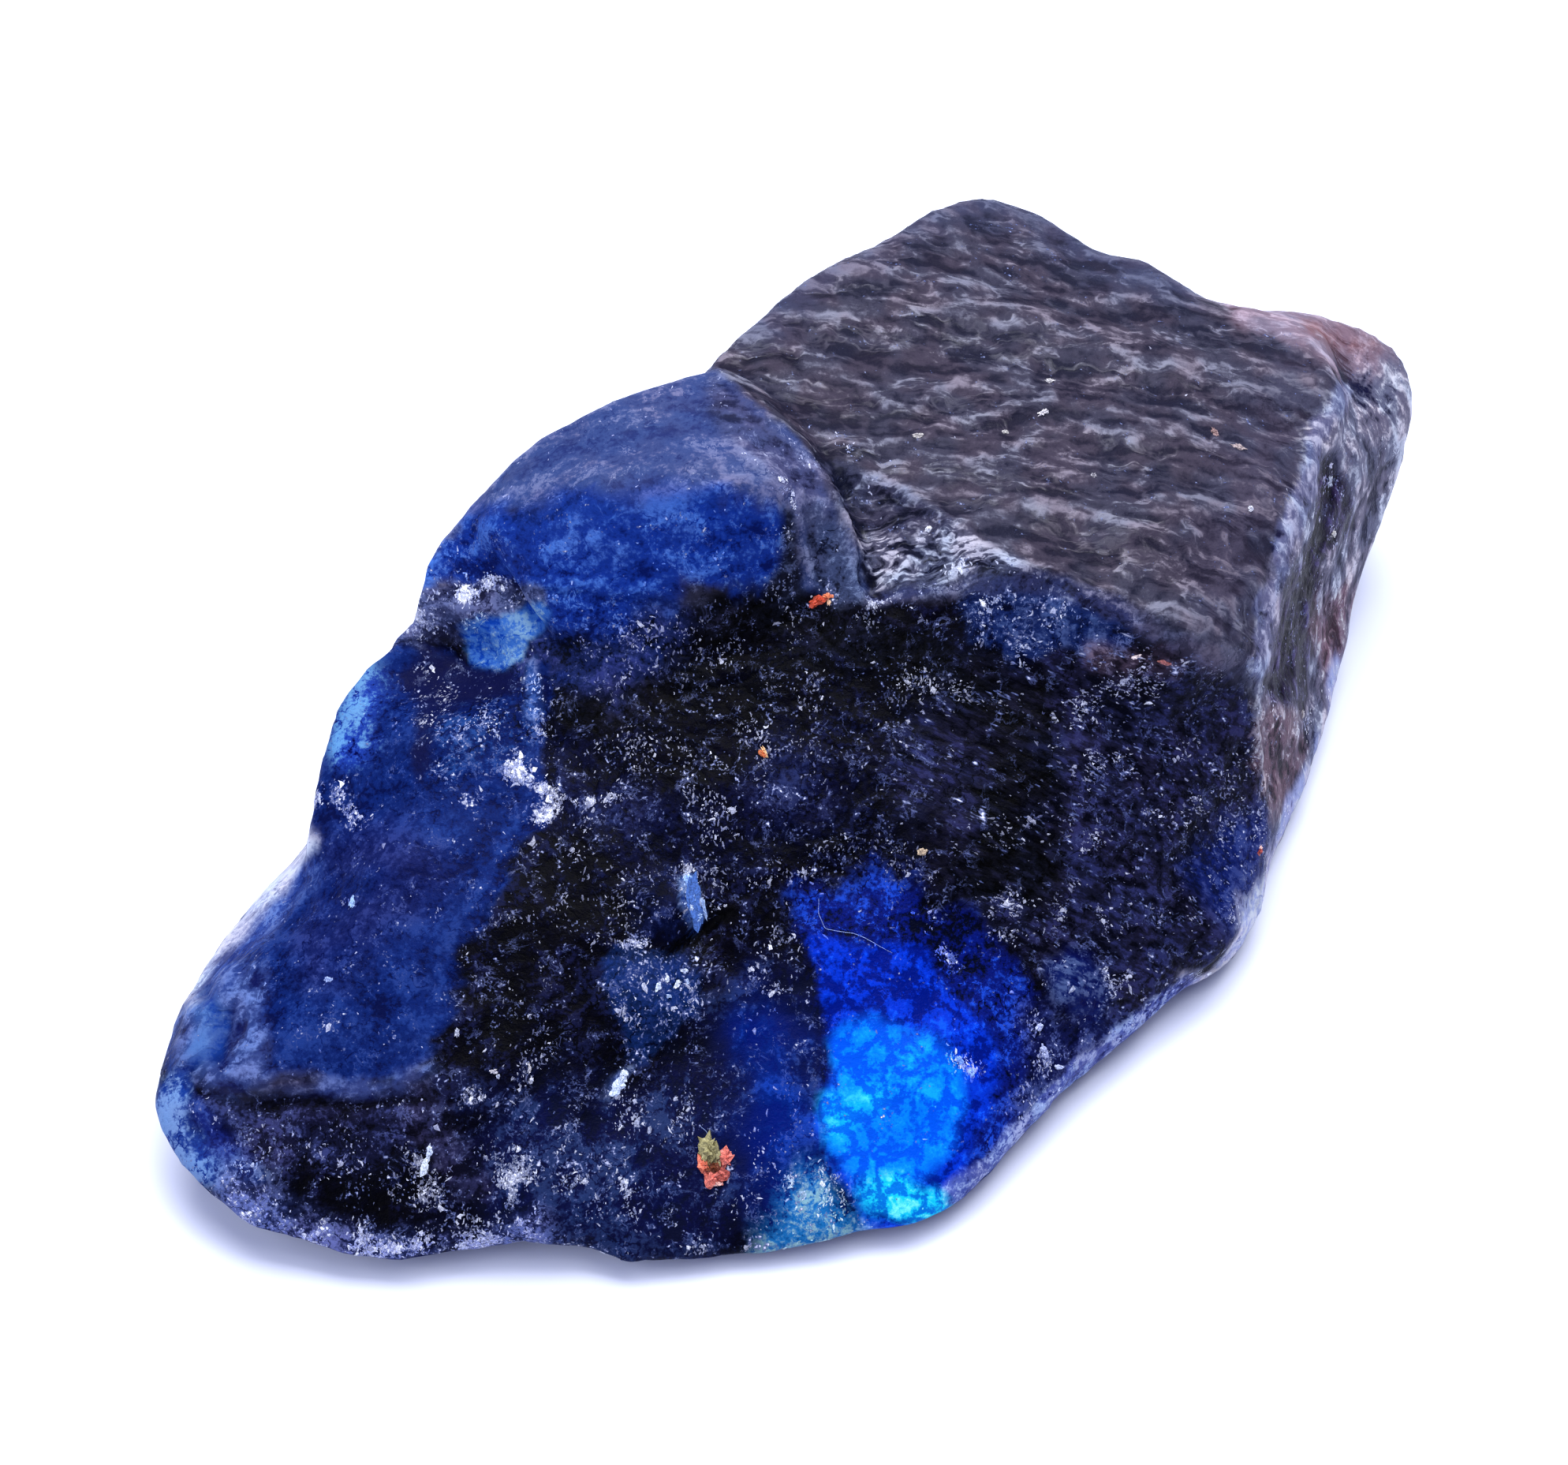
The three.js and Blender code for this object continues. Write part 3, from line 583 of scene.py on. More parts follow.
        outline=[(2.2, -14), (3, -13.4), (4.2, -13.1), (5.3, -13.6), (7, -14.2), (8.1, -15.4),
        (8.4, -17.2), (7.7, -19), (6.8, -20.1), (5.7, -20.9), (4.2, -20.5), (3.1, -20.5), (2.1, -18.9),
        (1.9, -17.4), (2, -16.7), (2.6, -16.1), (2.3, -15)],
        tones=[(1, 84, 222), (4, 128, 243), (16, 166, 252)], soft=0.4, wobble=0.25, glow=1.0,
    ),
    "glowCyan": dict(
        line=[(2.4, -17.3), (2.6, -18.4), (3.3, -17.1), (4.1, -16.9)], reach=0.42,
        tones=[(3, 112, 228), (14, 184, 248), (70, 230, 255)], soft=0.6, wobble=0.35, glow=1.0,
    ),
    "glowCyanLow": dict(
        line=[(4.1, -21.2), (5, -20.9), (5.7, -21.6), (7, -21.9)], reach=0.75,
        tones=[(4, 118, 214), (22, 206, 238), (120, 250, 252)], soft=0.3, wobble=0.4, glow=1.0,
    ),
    "greenFrost": dict(
        outline=[(-0.1, -21.4), (0.9, -20.5), (2, -20.3), (2.6, -21), (3.3, -22), (3.8, -22.8),
        (3.4, -23.8), (2, -24.5), (0.2, -25.3), (-1.1, -24.7), (-0.7, -23)],
        tones=[(5, 46, 132), (39, 151, 235), (195, 255, 255)], soft=1.1, wobble=0.6, strength=0.65,
        flecks=0.62, glow=0.15,
    ),
    "knob": dict(
        outline=[(12.2, -10.8), (13.1, -10), (14.1, -10.1), (14.9, -11), (15, -12.5), (14.5, -13.3),
        (13.4, -13.1), (12.4, -12.2)],
        tones=[(8, 15, 77), (19, 33, 96), (83, 99, 147)], soft=0.4, wobble=0.3, flecks=0.4,
    ),
    "blueRight": dict(
        outline=[(18.5, -6.1), (20.3, -3.9), (22.1, -3.7), (23.6, -4.1), (22.1, -7.4), (21.4, -9.9),
        (19.9, -8.8)],
        tones=[(12, 21, 62), (19, 35, 104), (58, 74, 141)], soft=0.7, wobble=0.6,
    ),
    "endFace": dict(
        outline=[(25.6, 16), (26.1, 16.7), (28, 19.3), (30.9, 19.3), (30.9, 13.5), (28, 6.2),
        (25.8, -2.6), (23.6, -7.4), (22.1, -7.4), (22.7, -4.8), (21.8, 1), (21.5, 2.9), (22, 5.8),
        (22.3, 7.6), (23, 10.2), (23.8, 12), (24.1, 14)],
        tones=[(23, 23, 58), (116, 115, 138), (245, 244, 251)], soft=0.2, wobble=0.25, ripples=0.0,
        chips=0.05, pits=0.08, flecks=0.15, rough=0.48, waved=0.8, slanted=0.0, gloss=0.2,
    ),
    # Painted highlight along the bevel of the end's ridge.
    "endBevel": dict(
        line=endRidge, reach=0.42,
        tones=[(34, 34, 66), (112, 116, 152), (206, 212, 234)], soft=0.14, wobble=0.45,
    ),
    "endGroove": dict(
        outline=[(25.4, 12.9), (25.8, 12), (26.1, 10.5), (25.9, 8.7), (25, 7.6), (24.6, 6.2), (24.7, 4.7),
        (24.3, 2.5), (23.6, -0.1), (22.7, -0.1), (22, 2.1), (22.2, 3.6), (22.8, 5.1), (23.2, 6.9),
        (24.3, 8.7), (24.5, 10.5), (24.7, 12)],
        tones=[(8, 3, 18), (30, 17, 54), (96, 84, 136)], soft=0.2, wobble=0.4, flecks=0.35, rough=0.35,
    ),
    "rustTop": dict(
        outline=[(20.7, 19.8), (22.1, 20.2), (25.8, 19.5), (27.6, 18.6), (28.1, 17.5), (27.2, 16.4),
        (25.8, 16.6), (23.9, 17.8), (22.1, 18.4), (20.8, 19.1)],
        tones=[(88, 66, 78), (146, 128, 144), (204, 186, 200)], soft=0.5, wobble=0.6,
    ),
    "rustRed": dict(
        line=[(24.3, 18.6), (26.1, 18), (27.2, 17.8)], reach=0.32,
        tones=[(104, 66, 72), (142, 100, 104), (182, 146, 152)], soft=0.5, wobble=0.5,
    ),
    "rustMid": dict(
        outline=[(25, 6.2), (26, 7.1), (26.2, 5.4), (25.8, 2.9), (25, 2.5), (24.5, 3.6), (24.7, 5.1)],
        tones=[(60, 33, 48), (143, 110, 125), (255, 247, 241)], soft=0.4, wobble=0.5,
    ),
    "rustLow": dict(
        outline=[(21.7, 1.4), (23.6, 1), (24.1, -0.6), (23.6, -2.6), (22.9, -3.9), (22.3, -3),
        (21.8, -1.1)],
        tones=[(34, 18, 35), (124, 97, 111), (255, 246, 245)], soft=0.4, wobble=0.5,
    ),
    "rustLip": dict(
        line=[(14.8, 3.6), (16.6, 3.3), (18.1, 2.9)], reach=0.5,
        tones=[(30, 24, 34), (70, 58, 74), (140, 126, 144)], soft=0.5, wobble=0.6,
    ),
    # Painted highlights: light caught along the lower right rim, here and in the next zone.
    "rimRightHighlight": dict(
        line=[(25.8, 2.9), (25, -0.1), (24.1, -2.6), (23.4, -4.3), (22.7, -5.9), (22, -7.7), (21.4, -9.4),
        (20.7, -10.7), (19.2, -11.6)],
        tones=[(112, 118, 170), (196, 204, 246), (255, 255, 255)], reach=0.5, soft=0.3, wobble=0.6,
        facing=True, chips=0.1, flecks=0.3, rough=0.5, slanted=0.6, gloss=0.3,
    ),
    "rimLowHighlight": dict(
        line=[(18.5, -12), (15.9, -14.1), (14.1, -15.5), (12.6, -17), (11.5, -18.3), (10.1, -19.8),
        (8.2, -21.2)],
        tones=[(34, 42, 110), (90, 106, 186), (196, 214, 255)], reach=0.75, soft=0.15, wobble=0.25,
        facing=True,
    ),
    # Painted highlight: light caught along the shelf's rim.
    "shelfRimHighlight": dict(
        line=[(-21.8, -5), (-23.1, -7), (-24.6, -8.3), (-25.9, -9.5), (-26.9, -10.8), (-27.5, -12.1)],
        tones=[(84, 94, 146), (170, 180, 212), (232, 238, 252)], reach=0.46, soft=0.3, wobble=0.35,
        facing=True, rough=0.4, gloss=0.6,
    ),
    "frostFoot": dict(
        line=[(-25.3, -20.9), (-23.5, -22.5), (-20.6, -23.7), (-17.3, -24.1), (-14.4, -23.8),
        (-11.5, -23)],
        tones=[(12, 16, 46), (36, 44, 88), (124, 136, 204)], reach=0.9, soft=0.9, wobble=0.6, flecks=0.9,
    ),
}

# Places with more of the pale frosting, partly painted glints such as those on the ledge
# and along the dome's crest, as lines on the marking plane: half width (mm) and strength.
frosting = [
    ([(-16.8, 5.4), (-16.4, 6.3), (-16, 6.6)], 0.3, 0.98),
    ([(-15.3, 5.9), (-14.4, 6.4), (-13.5, 6.8), (-12.6, 7)], 0.26, 0.98),
    ([(-10.7, 6.7), (-10.3, 6)], 0.2, 0.8),
    ([(-21.3, -3), (-20.4, -2.6), (-19.5, -3.9)], 0.45, 0.92),
    ([(-11.5, 0.1), (-10.7, -0.1)], 0.3, 0.98),
    ([(-12.6, -1.5), (-11.1, -2.2), (-10.7, -3), (-11.1, -3.7)], 0.55, 0.95),
    ([(-14.4, -3), (-14, -4.4)], 0.4, 0.92),
    ([(-9.5, -3.3), (-8.4, -3.2), (-6.9, -2.9)], 0.2, 0.98),
    ([(-6.1, -11.7), (-5.6, -11.4), (-4.6, -10.9), (-4.2, -11.7)], 0.24, 0.98),
    ([(-4.5, -6.1), (-3.6, -7.4), (-3.1, -7.9)], 0.2, 0.92),
    ([(8.2, 7.8), (8.8, 7.9)], 0.28, 0.92),
    ([(4.1, 6), (5.7, 6.2), (7.9, 6.1)], 0.2, 0.8),
    ([(2.4, 13.5), (3.5, 12.9)], 0.4, 0.6),
    ([(11.4, -13.5), (11.8, -14.3), (12.3, -15.4)], 0.2, 0.9),
    ([(7.8, -15.1), (8.8, -15.7)], 0.36, 0.8),
    ([(9.3, -15.4), (11.2, -15.6), (12.6, -15.5)], 0.12, 0.9),
    ([(7.2, -9.9), (8, -10.7)], 0.3, 0.74),
    ([(-12.6, -20.9), (-10.7, -20.2), (-8.5, -20.1), (-7.1, -21)], 0.8, 0.84),
    ([(-12.9, -23), (-10.7, -23.8), (-7.8, -24.3)], 0.5, 0.86),
    ([(14.6, -12.8), (15.2, -13.6)], 0.3, 0.7),
    ([(14.4, -10.2), (14.9, -11), (15, -12.2), (14.7, -13.1)], 0.16, 0.9),
    ([(12.6, -10), (13.5, -9.8)], 0.14, 0.7),
    ([(-16.8, -19.6), (-16.4, -20.3)], 0.25, 0.98),
    ([(-14.7, -15.9), (-14.3, -17)], 0.3, 0.92),
    ([(-15.4, -13.6), (-15, -14)], 0.22, 0.92),
    ([(-12.2, -15.2), (-11.9, -16.1)], 0.2, 0.92),
    ([(-13.4, -15.7), (-12.9, -16)], 0.2, 0.92),
    ([(-6.9, -9.5), (-6.5, -10.1)], 0.2, 0.92),
    ([(-23.9, -22.5), (-20.6, -23.5), (-17.3, -23.9), (-14.7, -23.7)], 0.35, 0.92),
    ([(-19.1, -22.5), (-18.8, -23.4)], 0.4, 0.9),
    ([(-9.1, -24.1), (-7.8, -24.5)], 0.3, 0.9),
    ([(-2.9, -11.4), (-2.5, -11.7)], 0.2, 0.92),
    ([(-3.2, -1.1), (-2.5, -2.1)], 0.2, 0.92),
    ([(-12.9, -19.4), (-10.7, -19.8), (-8.5, -19.2)], 0.6, 0.62),
    ([(-23.5, -18.7), (-21, -20.1), (-18, -20.9), (-14.4, -21.6)], 1.2, 0.62),
    ([(-5.3, -23), (-2.3, -23.8), (-0.5, -23)], 0.8, 0.6),
    ([(-21.7, -13.9), (-20.8, -13.2)], 0.3, 0.5),
    ([(-20.2, -7.7), (-19.9, -7.9)], 0.2, 0.8),
    ([(0.4, -20.9), (1.3, -22)], 0.5, 0.7),
    ([(-15.7, 8.3), (-14.9, 7.8)], 0.5, 0.5),
    ([(-1.6, -6.6), (-3.2, -6.3), (-3.1, -5.5)], 0.35, 0.5),
    ([(17.4, -3.7), (18.8, -4.3)], 0.3, 0.6),
    ([(25.4, 11.6), (25.8, 10.9)], 0.2, 0.9),
    ([(25.4, 9.3), (25.5, 8.5)], 0.2, 0.9),
    ([(24.1, 1), (24.3, -0.2)], 0.22, 0.8),
    ([(-1.2, 10.5), (-0.9, 10)], 0.35, 0.5),
    ([(0.3, 11.1), (0.6, 10.2), (0.7, 8.7)], 0.12, 0.9),
    (domeCrest[:7], 0.09, 0.68),
    ([(-2, 12.9), (-1.1, 12.3), (0.2, 11.4)], 0.1, 0.85),
    ([(-18, -2.6), (-17.8, -0.4), (-17.3, 1.8)], 0.12, 0.6),
    ([(5.7, 2.9), (9.3, 2.1), (13, 1), (16.6, -0.1)], 1.0, 0.52),
    ([(1.2, 7.1), (2, 6.7), (2.6, 6.1), (2, 5.6), (1.2, 6)], 0.18, 0.8),
    ([(-14.7, 5.1), (-12.9, 5.6), (-12, 6.2)], 0.16, 0.8),
    ([(-6.4, 9.4), (-4.5, 8.7)], 0.6, 0.35),
]

toneStrength = 0.55  # how much of the light the tones give back
wobbleSizes = (1.6, 2.2, 2.8)  # mm
wobbles = [fractal(points / size, 90 + 7 * number, 4, 0.6) for number, size in enumerate(wobbleSizes)]
finishNames = ("ripples", "chips", "pits", "flecks", "rough", "waved", "slanted", "glow", "gloss")


# How much of a zone a point gets: the distance inside its outline, or within the reach
# of its line, is wobbled by noise and passed through a soft step.
def zoneShare(zone, number):
    if "outline" in zone:
        inside = outlineDistance(plane, zone["outline"])
    else:
        inside = zone["reach"] - lineDistance(plane, zone["line"])
    inside += zone["wobble"] * wobbles[number % len(wobbles)]
    share = smoothStep(-zone["soft"], zone["soft"], inside) * zone.get("strength", 1.0)
    return share * (facing if zone.get("facing") else seen)


# Each of the three tones moves towards its new colour by the share.
def paintTones(colours, share):
    for k, colour in enumerate(colours):
        tones[k] += (tint(colour) * toneStrength - tones[k]) * share[:, None]


# The markings end where the skin turns away from the eye: the softened normal times the
# way to the eye, wobbled, passes through a soft step.
plane = onPlane(points)
towardsEye = (pointNormals(soften(points, 12)) * unit(eye - points)).sum(axis=1)
seen = smoothStep(-0.35, 0.0, towardsEye + 0.2 * wobbles[1])
# The painted rim highlights keep to the skin that faces the eye.
facing = smoothStep(-0.16, 0.04, towardsEye + 0.12 * wobbles[1])  # for the bright rims
tones = np.zeros((3, len(points), 3))
finish = {name: np.zeros(len(points)) for name in finishNames}
for number, zone in enumerate(zones.values()):
    share = np.ones(len(points)) if "wholeStone" in zone else zoneShare(zone, number)
    paintTones(zone["tones"], share)
    for name in finishNames:
        if name in zone:
            finish[name] += (zone[name] - finish[name]) * share

# The hidden side: slate blue behind the dome and the shelf, charcoal behind the slab.
# The blue fades along one direction, and two noises make its border wander.
hiddenSide = {
    "way": (0.85, 0.1, 0.55),
    "wander": ((11, 7.0, 3), (4, 1.8, 5)),  # reach and size (mm) and seed of each noise
    "border": (13, -4),  # mm, where the blue starts and where it is full
    "tones": [(14, 22, 66), (36, 46, 102), (80, 92, 150)],
}
away = points @ hiddenSide["way"]
for reach, size, seed in hiddenSide["wander"]:
    away += reach * fractal(points / size, seed)
paintTones(hiddenSide["tones"], smoothStep(*hiddenSide["border"], away) * (1 - seen))
for line, reach, strength in frosting:
    away = lineDistance(plane, line) - 0.35 * wobbles[0]
    spot = smoothStep(reach * 2.2, reach * 0.2, away) * strength * seen
    finish["flecks"] = np.maximum(finish["flecks"], spot)
print("markings laid out")

relief = {
    "bend": 1.1,  # mm, how far the ripples and chips are pushed about
    "bendSize": 4.5,  # mm
    "waveLength": 1.35,  # mm between ripples
    "waveStretch": 4.2,  # how much longer than wide they are
    "waveShares": (0.6, 0.5, 0.25),  # of the rounded, the crested and the fine ripples
    "chipSize": 2.0,  # mm
    "chipShares": (0.9, 0.9),  # of the tilted flats and of their roughness
    "chipSeam": 0.25,
    "pitSize": 1.1,  # mm
    "pitEdge": (0.55, 0.1),
    "grainSize": 0.5,
    "grainHeight": 0.018,  # mm, everywhere
    "foldWobble": 0.3,  # mm
    "foldShading": 0.13,  # mm, the height of a fold that shows in full in the colour
    "fade": (0.15, 1.3),  # mm above the table
    "crestHeight": 0.03,  # mm, the height of a crest that shows in full in the colour
}
# Raised ribs and sunk folds, as lines on the marking plane: half width and height (mm).
folds = [
    ([
        (-1.1, 18.3), (0.7, 17.5), (1.8, 16.7), (3.4, 16.2), (5, 15.2), (6.1, 14.9), (7.5, 15.7),
        (8.6, 16.3), (11.2, 16.7),
    ], 0.3, 0.13),
    ([(1.8, 19), (4.2, 19.5), (7, 19.7), (9.9, 19), (14.3, 19.7), (17.2, 20.6)], 0.5, 0.12),
    ([(6.1, 13.6), (7.5, 14.1), (9.3, 14.8), (11.5, 15.1), (12.4, 15.6)], 0.3, 0.13),
    ([(8.3, 9.7), (10.5, 10.3), (14.3, 10.5), (18.8, 10.6), (22, 10.3), (23.2, 10.5)], 0.4, 0.12),
    ([(10.8, 13.5), (13.4, 14), (16.3, 13.8), (18.5, 14.2)], 0.3, 0.08),
    ([(-3.2, 16.7), (-1.4, 15.2), (0.2, 13.7), (1.7, 12.1), (2.8, 10.2), (3.7, 8.2)], 0.25, 0.14),
    ([(-2.2, 13), (-0.4, 11.9), (0.7, 11), (0.7, 9), (1.3, 6.7)], 0.25, 0.12),
    (hollowRidge, 0.3, 0.12),
    (endRidge, 0.4, 0.14),
    ([(26.1, 13.5), (26.6, 11.3), (26.4, 8.3), (25.4, 6.5)], 0.4, 0.14),
    ([(2.5, 11.6), (3.2, 10.2), (3.9, 8.2), (4.1, 6.4)], 0.3, -0.2),
    ([(-5.4, -10.1), (-4.2, -9.6), (-3.4, -9), (-2.9, -8.4)], 0.3, -0.22),
    ([(25.2, 12.4), (25.1, 10.2), (24.3, 7.6), (23.7, 4.7), (22.9, 2.1)], 0.45, -0.3),
    ([(-18, 4.3), (-16, 4), (-14.5, 2.9)], 0.3, -0.2),
    ([(-27.2, -16.3), (-24.2, -17.1), (-21.7, -16.8), (-19.9, -17.1), (-17.3, -16.8)], 0.4, -0.3),
    ([(-25.3, -11.2), (-24.2, -13), (-24.5, -15), (-23.7, -16.2)], 0.4, 0.2),
    ([(-26.9, -11.7), (-25.9, -13.6), (-26.2, -15.4)], 0.4, -0.2),
    ([
        (-11, 2.4), (-10.9, -0.1), (-10.7, -3), (-12.4, -5.5), (-13.7, -7.7), (-14.7, -9.9),
        (-15.3, -12.3),
    ], 0.35, -0.14),
]
bend = np.stack([fractal(points / relief["bendSize"], seed, 2) for seed in (11, 13, 17)], axis=1)
bent = points + relief["bend"] * bend

# Ripples, and chips: each cell is a flat, tilted by its mark, with a seam round it.
long = (relief["waveStretch"], 1.0, 1.0)
rounded, crested, fine = relief["waveShares"]
waves = rounded * noise(bent / relief["waveLength"] / long, 21)
waves += crested * crests(bent / (relief["waveLength"] * 1.3) / long, 23)
waves += fine * noise(bent / (relief["waveLength"] * 0.5) / long, 25)
near, following, way, mark = cellNoise(bent / relief["chipSize"], 31)
flats, uneven = relief["chipShares"]
broken = flats * (way * mark).sum(axis=1) * smoothStep(0.0, relief["chipSeam"], following - near)
broken += uneven * fractal(bent / relief["chipSize"], 35, 4, 0.55)

# Pits: round hollows at cell centres, each with a depth of its own.
near, _, _, mark = cellNoise(bent / relief["pitSize"] / (1.3, 1, 1), 41)
pits = -smoothStep(*relief["pitEdge"], near) * (0.4 + 0.6 * np.abs(mark[:, 0]))
height = finish["ripples"] * waves + finish["chips"] * broken + finish["pits"] * pits
height += relief["grainHeight"] * fractal(points / relief["grainSize"], 51, 2)

# Folds: a bell-shaped rise across each line, and a narrower one in the colour: painted light along a raised
# fold and painted shade along a sunk one.
foldShading = np.zeros(len(points))
for line, reach, rise in folds:
    away = lineDistance(plane + relief["foldWobble"] * np.stack(wobbles[:2], axis=1), line)
    height += rise * np.exp(-(away / reach) ** 2) * seen
    foldShading += rise / relief["foldShading"] * np.exp(-(away / (reach * 0.65)) ** 2) * seen
foldShading *= 0.4 + 0.65 * np.clip(1 + wobbles[2], 0, 2)
height *= smoothStep(*relief["fade"], points[:, 2])
points = points + normals * height[:, None]

# The finished surface keeps the solid's box exactly.
low, high = np.array(cadBox[0]) / mm, np.array(cadBox[1]) / mm
bottom, top = points.min(axis=0), points.max(axis=0)
points = low + (points - bottom) / (top - bottom) * (high - low)
points[table, 2] = low[2]
print("relief carved")

# How far each point stands above the surface a little softened: crests are positive. In
# the colour it becomes painted light on crests and painted shade in hollows.
normals = pointNormals(points)
level = points
for _ in range(6):
    level = level + 0.5 * (neighbourMean(level) - level)
standing = ((points - level) * normals).sum(axis=1)
crest = np.clip(standing / relief["crestHeight"] + foldShading, -1, 1)


# A colour for each point of a mesh, under a name that a material can read.
def addColours(mesh, name, values):
    layer = mesh.attributes.new(name, "FLOAT_COLOR", "POINT")
    full = np.ones((len(values), 4), np.float32)
    full[:, :3] = values
    layer.data.foreach_set("color", full.ravel())


stoneMesh = makeMesh("roughSapphire", points, squares.tolist())
painted = {
    "darkTone": tones[0],
    "middleTone": tones[1],
    "lightTone": tones[2],
    "texture": np.stack((finish["waved"], finish["slanted"], finish["flecks"]), axis=1),
    "surface": np.stack((finish["rough"], crest * 0.5 + 0.5, finish["glow"]), axis=1),
    "sheen": finish["gloss"][:, None],
}
for name, values in painted.items():
    addColours(stoneMesh, name, values)
uvs = stoneMesh.uv_layers.new(name="OFBake")
uvs.data.foreach_set("uv", tiles.reshape(-1).astype(np.float32))
stoneMesh.shade_smooth()


# An object for a mesh, with its material.
def addPiece(name, mesh, material):
    piece = bpy.data.objects.new(name, mesh)
    bpy.context.scene.collection.objects.link(piece)
    mesh.materials.append(material)
    return piece


# Sets inputs of a node, each by its name or number, to a value or a socket.
def setInputs(tree, node, inputs):
    for name, value in inputs.items():
        if isinstance(value, bpy.types.NodeSocket):
            tree.links.new(value, node.inputs[name])
        else:
            node.inputs[name].default_value = value


# A node with its settings and inputs.
def addNode(tree, kind, inputs=None, **settings):
    made = tree.nodes.new(kind)
    for name, value in settings.items():
        setattr(made, name, value)
    setInputs(tree, made, inputs or {})
    return made


# A material, its node tree and its shader.
def newMaterial(name):
    material = bpy.data.materials.new(name)
    material.use_nodes = True
    return material, material.node_tree, material.node_tree.nodes["Principled BSDF"]


# One operation on up to three values or sockets.
def addMath(tree, operation, first, second=0.0, third=0.0, clamp=False):
    made = addNode(tree, "ShaderNodeMath", {0: first, 1: second, 2: third}, operation=operation)
    made.use_clamp = clamp
    return made.outputs[0]


# One value times another.
def addProduct(tree, first, second):
    return addMath(tree, "MULTIPLY", first, second)


# Patterns, each times its share, added up.
def addSum(tree, *terms):
    total = 0.0
    for pattern, share in terms:
        total = addMath(tree, "MULTIPLY_ADD", pattern, share, total)
    return total


# A pattern taken about its middle of 0.5, times a gain, added to a base.
def addAround(tree, base, pattern, gain):
    return addMath(tree, "MULTIPLY_ADD", addMath(tree, "SUBTRACT", pattern, 0.5), gain, base)


# An S-shaped rise between two values of the input, from one output value to another.
def addStep(tree, value, low, high, toLow=0.0, toHigh=1.0):
    made = addNode(tree, "ShaderNodeMapRange", {"Value": value, "From Min": low, "From Max": high,
                                                "To Min": toLow, "To Max": toHigh},
                   interpolation_type="SMOOTHSTEP")
    return made.outputs[0]


# 1 where a noise passes through 0.5, falling to 0 at a width of noise on both sides.
def addLine(tree, value, width):
    away = addMath(tree, "ABSOLUTE", addMath(tree, "SUBTRACT", value, 0.5))
    return addStep(tree, away, 0.0, width, 1.0, 0.0)


# The first value times one less the share, and the second times the share.
def addBlend(tree, share, first, second):
    return addNode(tree, "ShaderNodeMix", {0: share, 2: first, 3: second}).outputs[0]


# The same for two colours, or with MULTIPLY their product by a share of 1.
def addMix(tree, share, first, second, kind="MIX"):
    return addNode(tree, "ShaderNodeMix", {0: share, 6: first, 7: second},
                   data_type="RGBA", blend_type=kind).outputs[2]


# Noise, 0 to 1, with patches of a size in the vector's own unit.
def addNoise(tree, vector, size, detail=2.0, roughness=0.5):
    return addNode(tree, "ShaderNodeTexNoise", {"Vector": vector, "Scale": 1 / size,
                                                "Detail": detail, "Roughness": roughness}).outputs[0]


# A mapping that squeezes the vector along its axes.
def addSqueeze(tree, vector, scale):
    return addNode(tree, "ShaderNodeMapping", {"Vector": vector, "Scale": scale}).outputs[0]


# One operation on vectors.
def addVector(tree, operation, inputs):
    return addNode(tree, "ShaderNodeVectorMath", inputs, operation=operation).outputs[0]


# The piece's own place in millimetres.
def addPlace(tree):
    place = addNode(tree, "ShaderNodeTexCoord").outputs["Object"]
    return addVector(tree, "SCALE", {0: place, "Scale": 1 / mm})


# The colour that a mesh holds under a name.
def addPainted(tree, name):
    made = addNode(tree, "ShaderNodeAttribute", attribute_name=name, attribute_type="GEOMETRY")
    return made.outputs["Color"]


# The three parts of such a colour, one value each.
def addPaintedParts(tree, name):
    return addNode(tree, "ShaderNodeSeparateColor", {"Color": addPainted(tree, name)}).outputs


# A shader group with named inputs and outputs: (name, kind, value) for each input.
def newGroup(name, inputs, outputs):
    group = bpy.data.node_groups.new(name, "ShaderNodeTree")
    for label, kind, value in inputs:
        socket = group.interface.new_socket(label, in_out="INPUT", socket_type=kind)
        if value is not None:
            socket.default_value = value
    for label, kind in outputs:
        group.interface.new_socket(label, in_out="OUTPUT", socket_type=kind)
    return group, group.nodes.new("NodeGroupInput").outputs, group.nodes.new("NodeGroupOutput").inputs


# A group placed in a material, with its inputs set.
def addGroup(tree, group, inputs):
    return addNode(tree, "ShaderNodeGroup", inputs, node_tree=group).outputs


# Three tones: dark rises to middle over the lower half of the tone, and middle to light
# over the upper half.
def makeToneGroup():
    group, given, result = newGroup(
        "threeTones",
        [("Tone", "NodeSocketFloat", 0.5), ("Dark", "NodeSocketColor", None),
         ("Middle", "NodeSocketColor", None), ("Light", "NodeSocketColor", None)],
        [("Color", "NodeSocketColor")])
    lower = addMix(group, addStep(group, given["Tone"], 0.1, 0.5), given["Dark"], given["Middle"])
    upper = addMix(group, addStep(group, given["Tone"], 0.5, 0.95), lower, given["Light"])
    group.links.new(upper, result["Color"])
    return group


